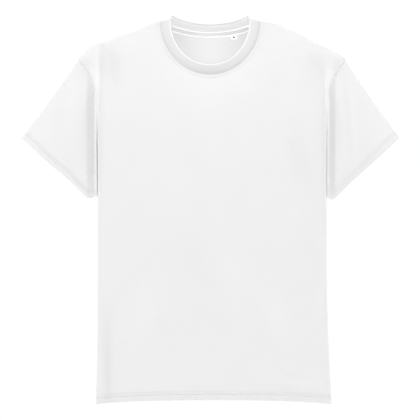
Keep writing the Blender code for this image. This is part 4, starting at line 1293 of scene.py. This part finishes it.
def run_tree(base, tree, name, **settings):
    """What a tree makes of an object, as a plain mesh object. The base is removed."""
    modifier = base.modifiers.new("nodes", "NODES")
    modifier.node_group = tree
    for item in tree.interface.items_tree:
        if item.item_type == "SOCKET" and item.in_out == "INPUT" and item.name in settings:
            modifier[item.identifier] = settings[item.name]
    ready = base.evaluated_get(bpy.context.evaluated_depsgraph_get())
    mesh = bpy.data.meshes.new_from_object(ready)
    mesh.name = name
    mesh.materials.clear()
    mesh.materials.append(settings["Material"])
    mesh.polygons.foreach_set("material_index", np.zeros(len(mesh.polygons), np.int32))
    made = bpy.data.objects.new(name, mesh)
    bpy.context.scene.collection.objects.link(made)
    shirt.pop(base.name, None)
    old = base.data
    bpy.data.objects.remove(base)
    bpy.data.meshes.remove(old)
    shirt[name] = made
    return made


WALES_TREE = wales_tree()
print("tree", WALES_TREE.name, "with", len(WALES_TREE.nodes), "nodes")

# %% Loft the band, then raise its wales
reliefs["neck_rib"] = np.zeros(len(rib_points))
rib_outer, rib_inner = wall_points("neck_rib", np.full(len(rib_points), CLOTH))[:2]
level_normals = normals["neck_rib"].reshape(3, rib_count, 3)
sections = [rib_outer[:rib_count]]
for row in RIB_PROFILE:
    low = min(int(row.share * 2), 1)
    mix = row.share * 2 - low
    normal = unit(level_normals[low] * (1 - mix) + level_normals[low + 1] * mix)
    sections.append(neck_ring + rib_lean * row.share + normal * row.out)
sections.append(rib_inner[:rib_count])
band = through_ring(np.stack(sections), RIB_FINER)
rows, around = band.shape[:2]
band_faces = grid_faces(rows, around, True)
closing = grid_faces(2, around, True)
closing = np.where(closing < around, closing + (rows - 1) * around, closing - around)
band_faces = np.concatenate([band_faces, closing])
outwards = band - band.mean(axis=0, keepdims=True)
band_points = band.reshape(-1, 3)
band_faces = facing_out(band_points, band_faces, outwards.reshape(-1, 3))
share_round = np.broadcast_to(np.arange(around) / around, (rows, around))
section_run = np.linspace(0, 2 * RIB_WIDTH, rows)
band_flat = np.stack(
    [share_round * ring_length, np.broadcast_to(section_run[:, None], (rows, around))], axis=-1
).reshape(-1, 2)
smooth_band = make_object(
    "smooth_band", band_points, band_faces.tolist(), RIB, band_flat, float(ring_length)
)
give_value(smooth_band, "around", share_round)
amounts = [SEAM_WALES[0]] + [row.wale for row in RIB_PROFILE] + [SEAM_WALES[1]]
give_value(smooth_band, "amount", np.repeat(amounts, around))
# each row's painted shade and light, with painted light at the band's sides
rib_shades = [SEAM_SHADES[0]] + [row.shade for row in RIB_PROFILE] + [SEAM_SHADES[1]]
rib_shades = np.array(rib_shades)
rib_side = np.abs(band[0, :, 0] - NECK_MIDDLE) / NECK_HALF_WIDTH
give_value(smooth_band, "shade", rib_shades[:, None] + RIB_SIDE_LIGHT * rib_side**2)
wales = {"Wales": WALES, "Depth": WALE_DEPTH, "Material": RIB}
rib = run_tree(smooth_band, WALES_TREE, "neck_rib_band", **wales)
print("neckband", len(rib.data.polygons), "faces,", WALES, "wales")

# %% [markdown]
# ## The tape
#
# Inside the back of the neck a narrow tape covers the raw seam. It could be a strip swept along
# the seam, but cloth that is sewn on follows what lies under it. So the tape is laid on the
# back's inner face, found by looking straight back from inside the shirt, and its long edges are
# rounded.

# %% Lay the tape on the back's inner face
TAPE_SKIPS = 5  # of the neck seam's points at each end, which the tape stops short of
# The tape's section: distances from the seam, and how far each lies off the back's inner face.
TAPE_FALLS = [0.0010, 0.0013, 0.0021, 0.0036, 0.0052, 0.0068, 0.0082, 0.0090, 0.0093]
TAPE_OFF = [0.0002, 0.0007, 0.0010, 0.00085, 0.0010, 0.00085, 0.0010, 0.0007, 0.0002]
TAPE_SEAT = 0.0001  # how far the tape's back is pressed into the cloth
LOOK_BACK = 0.05  # how far in front of the cloth a look back starts


def settled(points, tree):
    """Points moved along y onto a surface behind them."""
    moved = points.copy()
    for place in np.ndindex(points.shape[:-1]):
        start = Vector(points[place]) - Vector((0, LOOK_BACK, 0))
        hit = tree.ray_cast(start, Vector((0, 1, 0)), 2 * LOOK_BACK)[0]
        if hit is not None:
            moved[place] = hit
    return moved


back = patches["back"]
inner_back = BVHTree.FromPolygons(inners["back"].tolist(), back.faces.tolist())
places = back.edges["neck"][TAPE_SKIPS:-TAPE_SKIPS]
edge, out = inners["back"][places], normals["back"][places]
along = unit(np.gradient(edge, axis=0))
fall = unit(np.cross(along, out))
fall *= np.where(fall[:, 2:] < 0, 1, -1)
laid = settled(np.stack([edge + fall * drop for drop in TAPE_FALLS]), inner_back)
face = laid - out[None] * np.array(TAPE_OFF)[:, None, None]
tape_points = np.concatenate([face, laid + out[None] * TAPE_SEAT]).reshape(-1, 3)
rows, columns = face.shape[:2]
sheet_faces = facing_out(tape_points, grid_faces(rows, columns), np.tile(-out, (2 * rows, 1)))
tape_faces = closed_sheet(sheet_faces, rows * columns)
tape_run = np.linalg.norm(np.diff(edge, axis=0), axis=1)
tape_flat = np.stack(
    np.meshgrid(np.concatenate([[0], np.cumsum(tape_run)]), TAPE_FALLS), axis=-1
).reshape(-1, 2)
make_object("neck_tape_band", tape_points, tape_faces, TAPE, np.tile(tape_flat, (2, 1)))
print("tape", round(float(tape_run.sum()), 3), "m long")

# %% [markdown]
# ## The tab
#
# A small woven tab is sewn on over the tape's lower edge. It bears no words: it is plain white
# with a round dark dot, woven in with a second yarn. The dot isn't a separate piece but a change
# of colour in the tab's material, at the distance from its middle that the UV map gives. The
# tab's lower end curls a little away from the cloth.

# %% Weave the tab
TAB_PLACE = 0.0415  # across, on the wearer's left
TAB_SIZE = (0.010, 0.011)  # width and height
TAB_THICKNESS = 0.0006
TAB_FALL = 0.0040  # of its middle below the tape's lower edge
TAB_OFF = 0.0013  # of its face from the tape's
TAB_CURL = 0.0007
TAB_STEPS = 8
DOT_RADIUS = 0.0022
DOT_TONE = (0.02, 0.02, 0.021, 1)


def tab_material():
    """A smooth woven tab: close upright threads, and a plain round dot woven in its middle."""
    # the tab's glow is painted light, which lifts its white inside the neck; it takes the tab's
    # colour, so the dot stays dark
    material = cloth_material(
        "tab", light=0.97, dark=0.95, depth=0.00008, painted_glow=0.40, **SMOOTH_YARN
    )
    tree = material.node_tree
    shader = tree.nodes["Principled BSDF"]
    shader.inputs["Subsurface Weight"].default_value = 0.2
    white = shader.inputs["Base Color"].links[0].from_socket
    flat = node(tree, "ShaderNodeUVMap", uv_map="flat").outputs["UV"]
    length = node(tree, "ShaderNodeVectorMath", operation="LENGTH", inputs={0: flat})
    reach = length.outputs["Value"]
    edge = {"Value": reach, "From Min": DOT_RADIUS * 0.9, "From Max": DOT_RADIUS * 1.1}
    dot = node(tree, "ShaderNodeMapRange", inputs=edge)
    colour = node(tree, "ShaderNodeMix", data_type="RGBA")
    tree.links.new(dot.outputs["Result"], colour.inputs[0])
    colour.inputs[6].default_value = DOT_TONE
    tree.links.new(white, colour.inputs[7])
    tree.links.new(colour.outputs[2], shader.inputs["Base Color"])
    tree.links.new(colour.outputs[2], shader.inputs["Emission Color"])
    return material


lower = face[-1]
order = np.argsort(lower[:, 0])


def on_tape(x, values):
    """Values read along the tape's lower edge at this x."""
    return np.stack([np.interp(x, lower[order, 0], values[order, k]) for k in range(3)])


tab_middle, tab_out = on_tape(TAB_PLACE, lower), unit(on_tape(TAB_PLACE, out))
half_width = TAB_SIZE[0] / 2
tab_across = unit(
    on_tape(TAB_PLACE + half_width, lower) - on_tape(TAB_PLACE - half_width, lower)
)
tab_down = unit(np.cross(tab_across, tab_out))
tab_down = tab_down if tab_down[2] < 0 else -tab_down
shares = np.linspace(-0.5, 0.5, TAB_STEPS + 1)
tab_x, tab_z = np.meshgrid(shares * TAB_SIZE[0], shares * TAB_SIZE[1])
off = TAB_OFF + TAB_CURL * (np.clip(tab_z / TAB_SIZE[1], 0, 1) * 2) ** 2
tab_face = (
    tab_middle
    + tab_across * tab_x[..., None]
    + tab_down * (tab_z[..., None] + TAB_FALL)
    - tab_out * off[..., None]
).reshape(-1, 3)
tab_grid = grid_faces(TAB_STEPS + 1, TAB_STEPS + 1)
tab_sheet = facing_out(tab_face, tab_grid, np.tile(-tab_out, (len(tab_face), 1)))
tab_points = np.concatenate([tab_face, tab_face + tab_out * TAB_THICKNESS])
tab_faces = closed_sheet(tab_sheet, len(tab_face))
tab_flat = np.tile(np.stack([tab_x.ravel(), tab_z.ravel()], axis=-1), (2, 1))
make_object("tab_woven", tab_points, tab_faces, tab_material(), tab_flat)
print("tab", TAB_SIZE)

# %% [markdown]
# ## Stitches
#
# The hems and the neck are topstitched with a twin needle: two rows of short stitches, sunk in
# the grooves they pull. The tape is held by a bright chain stitch along its lower edge and by
# another just above the seam, on the neckband. A row is a line laid on the cloth, and Geometry
# Nodes do the sewing: the line is resampled to one point a stitch, and each point gets a small
# flattened ball, turned along the row and standing on the cloth.

# %% The tree that sews a row
STITCH_PITCH = 0.0028
STITCH_SIZE = (0.0022, 0.0005, 0.0004)  # length, width and height
STITCH_SINK = 0.00005
STITCH_SIDES = 6
STITCH_RINGS = 4


def stitches_tree():
    """Geometry Nodes that sew stitches along a line of edges."""
    tree, given = new_tree("stitches", Pitch="Float", Size="Vector")
    line = node(tree, "GeometryNodeMeshToCurve", inputs={0: given["Geometry"]}).outputs[0]
    steps = {"Curve": line, "Length": given["Pitch"]}
    spots = node(tree, "GeometryNodeCurveToPoints", mode="LENGTH", inputs=steps).outputs
    turn = "FunctionNodeAlignRotationToVector"
    ahead = node(tree, turn, axis="X", inputs={"Vector": spots["Tangent"]}).outputs[0]
    up = {"Rotation": ahead, "Vector": kept_value(tree, "up", "FLOAT_VECTOR")}
    turned = node(tree, turn, axis="Z", pivot_axis="X", inputs=up).outputs[0]
    round_shape = {"Segments": STITCH_SIDES, "Rings": STITCH_RINGS, "Radius": 0.5}
    ball = node(tree, "GeometryNodeMeshUVSphere", inputs=round_shape).outputs["Mesh"]
    sewing = {
        "Points": spots["Points"], "Instance": ball, "Rotation": turned, "Scale": given["Size"]
    }
    sewn = node(tree, "GeometryNodeInstanceOnPoints", inputs=sewing)
    end_tree(tree, sewn.outputs[0], given["Material"])
    return tree


STITCHES = stitches_tree()
print("tree", STITCHES.name, "with", len(STITCHES.nodes), "nodes")

# %% Sew the twin rows of the hems
def on_cloth(tree, points, sink=STITCH_SINK):
    """The nearest points on a piece's surface, a little sunk, and the surface's normals."""
    found = [tree.find_nearest(Vector(point)) for point in points]
    up = np.array([hit[1][:] for hit in found])
    return np.array([hit[0][:] for hit in found]) - up * sink, up


def sew(name, rows, thread=THREAD, size=STITCH_SIZE):
    """Rows of stitches, each a (points, normals, closed) line, as one object."""
    points, ups, edges, start = [], [], [], 0
    for line, up, closed in rows:
        points.append(line)
        ups.append(up)
        last = len(line) if closed else len(line) - 1
        edges += [(start + i, start + (i + 1) % len(line)) for i in range(last)]
        start += len(line)
    mesh = bpy.data.meshes.new("row")
    mesh.from_pydata(np.concatenate(points).tolist(), edges, [])
    base = bpy.data.objects.new("row", mesh)
    bpy.context.scene.collection.objects.link(base)
    give_value(base, "up", np.concatenate(ups), "FLOAT_VECTOR")
    made = run_tree(base, STITCHES, name, Pitch=STITCH_PITCH, Size=size, Material=thread)
    print(name, len(made.data.polygons), "faces")
    return made


surface = {}
for name, outer in outers.items():
    surface[name] = BVHTree.FromPolygons(outer.tolist(), patches[name].faces.tolist())
hem_rows = []
for panel in PANELS:
    bearings = np.linspace(-90, 90, FINE)
    for height in HEM_STITCHES:
        line = form(panel, bearings, hem_height(panel, bearings) + height)
        hem_rows.append((*on_cloth(surface[panel], line), False))
sew("hem_stitches", hem_rows)
for name in SLEEVES:
    around = len(patches[name].edges["hem"])
    grid = outers[name].reshape(-1, around, 3)
    rows = []
    for height in HEM_STITCHES:
        row = len(grid) - 2 - HEM_LIFTS.index(height)
        rows.append((*on_cloth(surface[name], grid[row]), True))
    sew(name + "_stitches", rows)

# %% Sew the twin rows below the neckband
AXIS_RISE = 0.1  # height of the point that the neck's rows run away from
neck_rows = []
for panel in PANELS:
    patch = patches[panel]
    line = patch.points[patch.edges["neck"]]
    normal = normals[panel][patch.edges["neck"]]
    away = unit(np.cross(np.gradient(line, axis=0), normal))
    outwards = line * (1, 1, 0) - (0, 0, AXIS_RISE)
    away *= np.sign((away * outwards).sum(-1, keepdims=True))
    for reach in NECK_STITCHES:
        neck_rows.append((*on_cloth(surface[panel], line + away * reach), False))
sew("neck_stitches", neck_rows)

# %% Sew the tape with a chain stitch
TAPE_STITCHES = 0.0080  # distance of the lower row from the seam
CHAIN_SIZE = (0.0031, 0.0019, 0.0006)  # length, width and height
CHAIN_OFF = 0.0012  # where the lower row is looked for, just off the tape
tape_surface = BVHTree.FromPolygons(face.reshape(-1, 3).tolist(), sheet_faces.tolist())
lower_line = settled(edge + fall * TAPE_STITCHES, inner_back) - out * CHAIN_OFF
band_surface = BVHTree.FromPolygons(band_points.tolist(), band_faces.tolist())
first, last = len(neck_front) + TAPE_SKIPS, rib_count - TAPE_SKIPS
upper_line = band[-2, first * RIB_FINER : last * RIB_FINER : RIB_FINER]
tape_rows = [
    (*on_cloth(tape_surface, lower_line), False),
    (*on_cloth(band_surface, upper_line), False),
]
sew("tape_stitches", tape_rows, BRIGHT_THREAD, CHAIN_SIZE)

# %% [markdown]
# ## Joining everything to the stiff model
#
# Each fine piece rides on the model's one body. A table lists the stiff node each one stands for
# and the finish it takes, and that stiff node is hidden.

# %% Hide the stiff nodes that the pieces stand for
STANDS_FOR = {
    "front_cloth": ("front", "jersey"),
    "back_cloth": ("back", "jersey"),
    "sleeve_left_cloth": ("sleeve_left", "jersey"),
    "sleeve_right_cloth": ("sleeve_right", "jersey"),
    "neck_rib_band": ("neck_rib", "rib"),
    "neck_tape_band": ("neck_tape", "tape"),
    "tab_woven": ("tab", "tab"),
}
for name, made in shirt.items():
    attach(made, "root")
    if name in STANDS_FOR:
        stiff_node, slot = STANDS_FOR[name]
        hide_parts(stiff_node)
print(len(shirt), "pieces, of which", len(STANDS_FOR), "stand for stiff nodes")

# %% [markdown]
# ## How the cloth was cut
#
# Each piece was cut flat. The width of a panel is its widest level run, and its length is the
# run from the neck's side down to the hem. A sleeve is cut as wide as it is round. The neckband
# and the tape are strips. A curved piece's area is measured on the cloth itself, without its
# seam allowances.

# %% Work out the size each sheet was cut to
PANEL_TOP = -0.002  # height of the panel's top beside the neck
TAPE_WIDTH = 0.010
Cut = namedtuple("Cut", "width length area held")


def panel_cut(panel):
    """A panel's widest run and its length beside the neck."""
    heights = np.linspace(HEM_SIDES, PANEL_TOP, FINE)
    charts_of_sides = [np.stack([np.full(FINE, turn), heights], axis=-1) for turn in (90, -90)]
    left, right = (flat_of_chart(panel, chart)[:, 0] for chart in charts_of_sides)
    width = left.max() - right.min()
    beside = form(panel, bearing_of_x(panel, np.full(FINE, NECK_HALF_WIDTH), heights), heights)
    length = np.linalg.norm(np.diff(beside, axis=0), axis=1).sum()
    return Cut(float(width), float(length), cloth_area(panel), "hung")


def sleeve_cut(name):
    """A sleeve's girth where it is widest, and its length down the top."""
    patch = patches[name]
    grid = patch.points.reshape(-1, len(patch.edges["hem"]), 3)
    girth = np.linalg.norm(np.roll(grid, -1, axis=1) - grid, axis=-1).sum(axis=1).max()
    length = np.linalg.norm(np.diff(grid, axis=0), axis=-1).sum(axis=0).max()
    return Cut(float(girth), float(length), cloth_area(name), "hung")


cuts = {panel + "_cloth": panel_cut(panel) for panel in PANELS}
cuts |= {name + "_cloth": sleeve_cut(name) for name in SLEEVES}
cuts["neck_rib_band"] = Cut(float(ring_length), RIB_WIDTH, None, "stretched")
tape_length = float(tape_run.sum())
tape_area = tape_length * (TAPE_FALLS[-1] - TAPE_FALLS[0])
cuts["neck_tape_band"] = Cut(tape_length, TAPE_WIDTH, tape_area, "laid")
cuts["tab_woven"] = Cut(*TAB_SIZE, None, "laid")
for name, cut in cuts.items():
    print(name, "cut", round(cut.width, 3), "by", round(cut.length, 3), "m, area", cut.area)

# %% [markdown]
# ## Light
#
# White cloth on white needs very even light, or it turns grey. A bright, plain surround lights
# the shirt from all sides. A soft box in front lifts the chest a little above the hem, and two
# weak lamps at the sides light the sleeves, the right a little more. A narrow lamp far in front,
# a snoot, reaches into the neck, which would be too dark otherwise. A pale floor below throws a
# little back up. Inside the shirt light bounces many times between white walls before it comes
# out again, so it may bounce more often than is usual.

# %% Surround and lamps
SURROUND = 1.02
BOX_SIZE = 0.8  # width of each soft lamp
SNOOT = {"spot_size": math.radians(3.8), "spot_blend": 0.8, "shadow_soft_size": 0.06}

world = bpy.data.worlds.new("surround")
bpy.context.scene.world = world
world.use_nodes = True
background = world.node_tree.nodes["Background"]
background.inputs["Color"].default_value = grey(1.0)
background.inputs["Strength"].default_value = SURROUND


def add_lamp(name, kind, place, aim, energy, **settings):
    """A lamp at a place, turned towards its aim."""
    lamp = bpy.data.lights.new(name, kind)
    lamp.energy = energy
    for key, value in settings.items():
        setattr(lamp, key, value)
    light = bpy.data.objects.new(name, lamp)
    bpy.context.scene.collection.objects.link(light)
    light.location = place
    light.rotation_euler = (Vector(aim) - Vector(place)).to_track_quat("-Z", "Y").to_euler()
    light.visible_camera = False


add_lamp("softbox", "AREA", place=(0, -1.1, -0.05), aim=(0, 0, -0.25), energy=0.9, size=BOX_SIZE)
for name, side, energy in (("side_left", 1, 1.2), ("side_right", -1, 2.0)):
    place, aim = (side * 2.0, -1.5, 0.0), (side * 0.28, 0, -0.18)
    add_lamp(name, "AREA", place, aim, energy, size=BOX_SIZE)
snoot_place, snoot_aim = (NECK_MIDDLE, -2.8, -0.12), (NECK_MIDDLE, 0.05, -0.036)
add_lamp("snoot", "SPOT", snoot_place, snoot_aim, energy=76.0, **SNOOT)

print([lamp.name for lamp in bpy.data.lights])

# %% The floor, and how often light may bounce
FLOOR_HEIGHT = -1.45
FLOOR_SIZE = 8.0
BOUNCES, CLOTH_BOUNCES = 24, 16

floor_mesh = bpy.data.meshes.new("floor")
half = FLOOR_SIZE / 2
corners = [(-half, -half), (half, -half), (half, half), (-half, half)]
floor_mesh.from_pydata([(x, y, FLOOR_HEIGHT) for x, y in corners], [], [(0, 1, 2, 3)])
floor = bpy.data.objects.new("floor", floor_mesh)
bpy.context.scene.collection.objects.link(floor)
paint = bpy.data.materials.new("floor")
paint.use_nodes = True
shader = paint.node_tree.nodes["Principled BSDF"]
shader.inputs["Base Color"].default_value = grey(0.8)
shader.inputs["Roughness"].default_value = 0.9
floor_mesh.materials.append(paint)
bpy.context.scene.view_settings.view_transform = "Standard"
bpy.context.scene.cycles.max_bounces = BOUNCES
bpy.context.scene.cycles.diffuse_bounces = CLOTH_BOUNCES
print("floor", FLOOR_SIZE, "m wide")
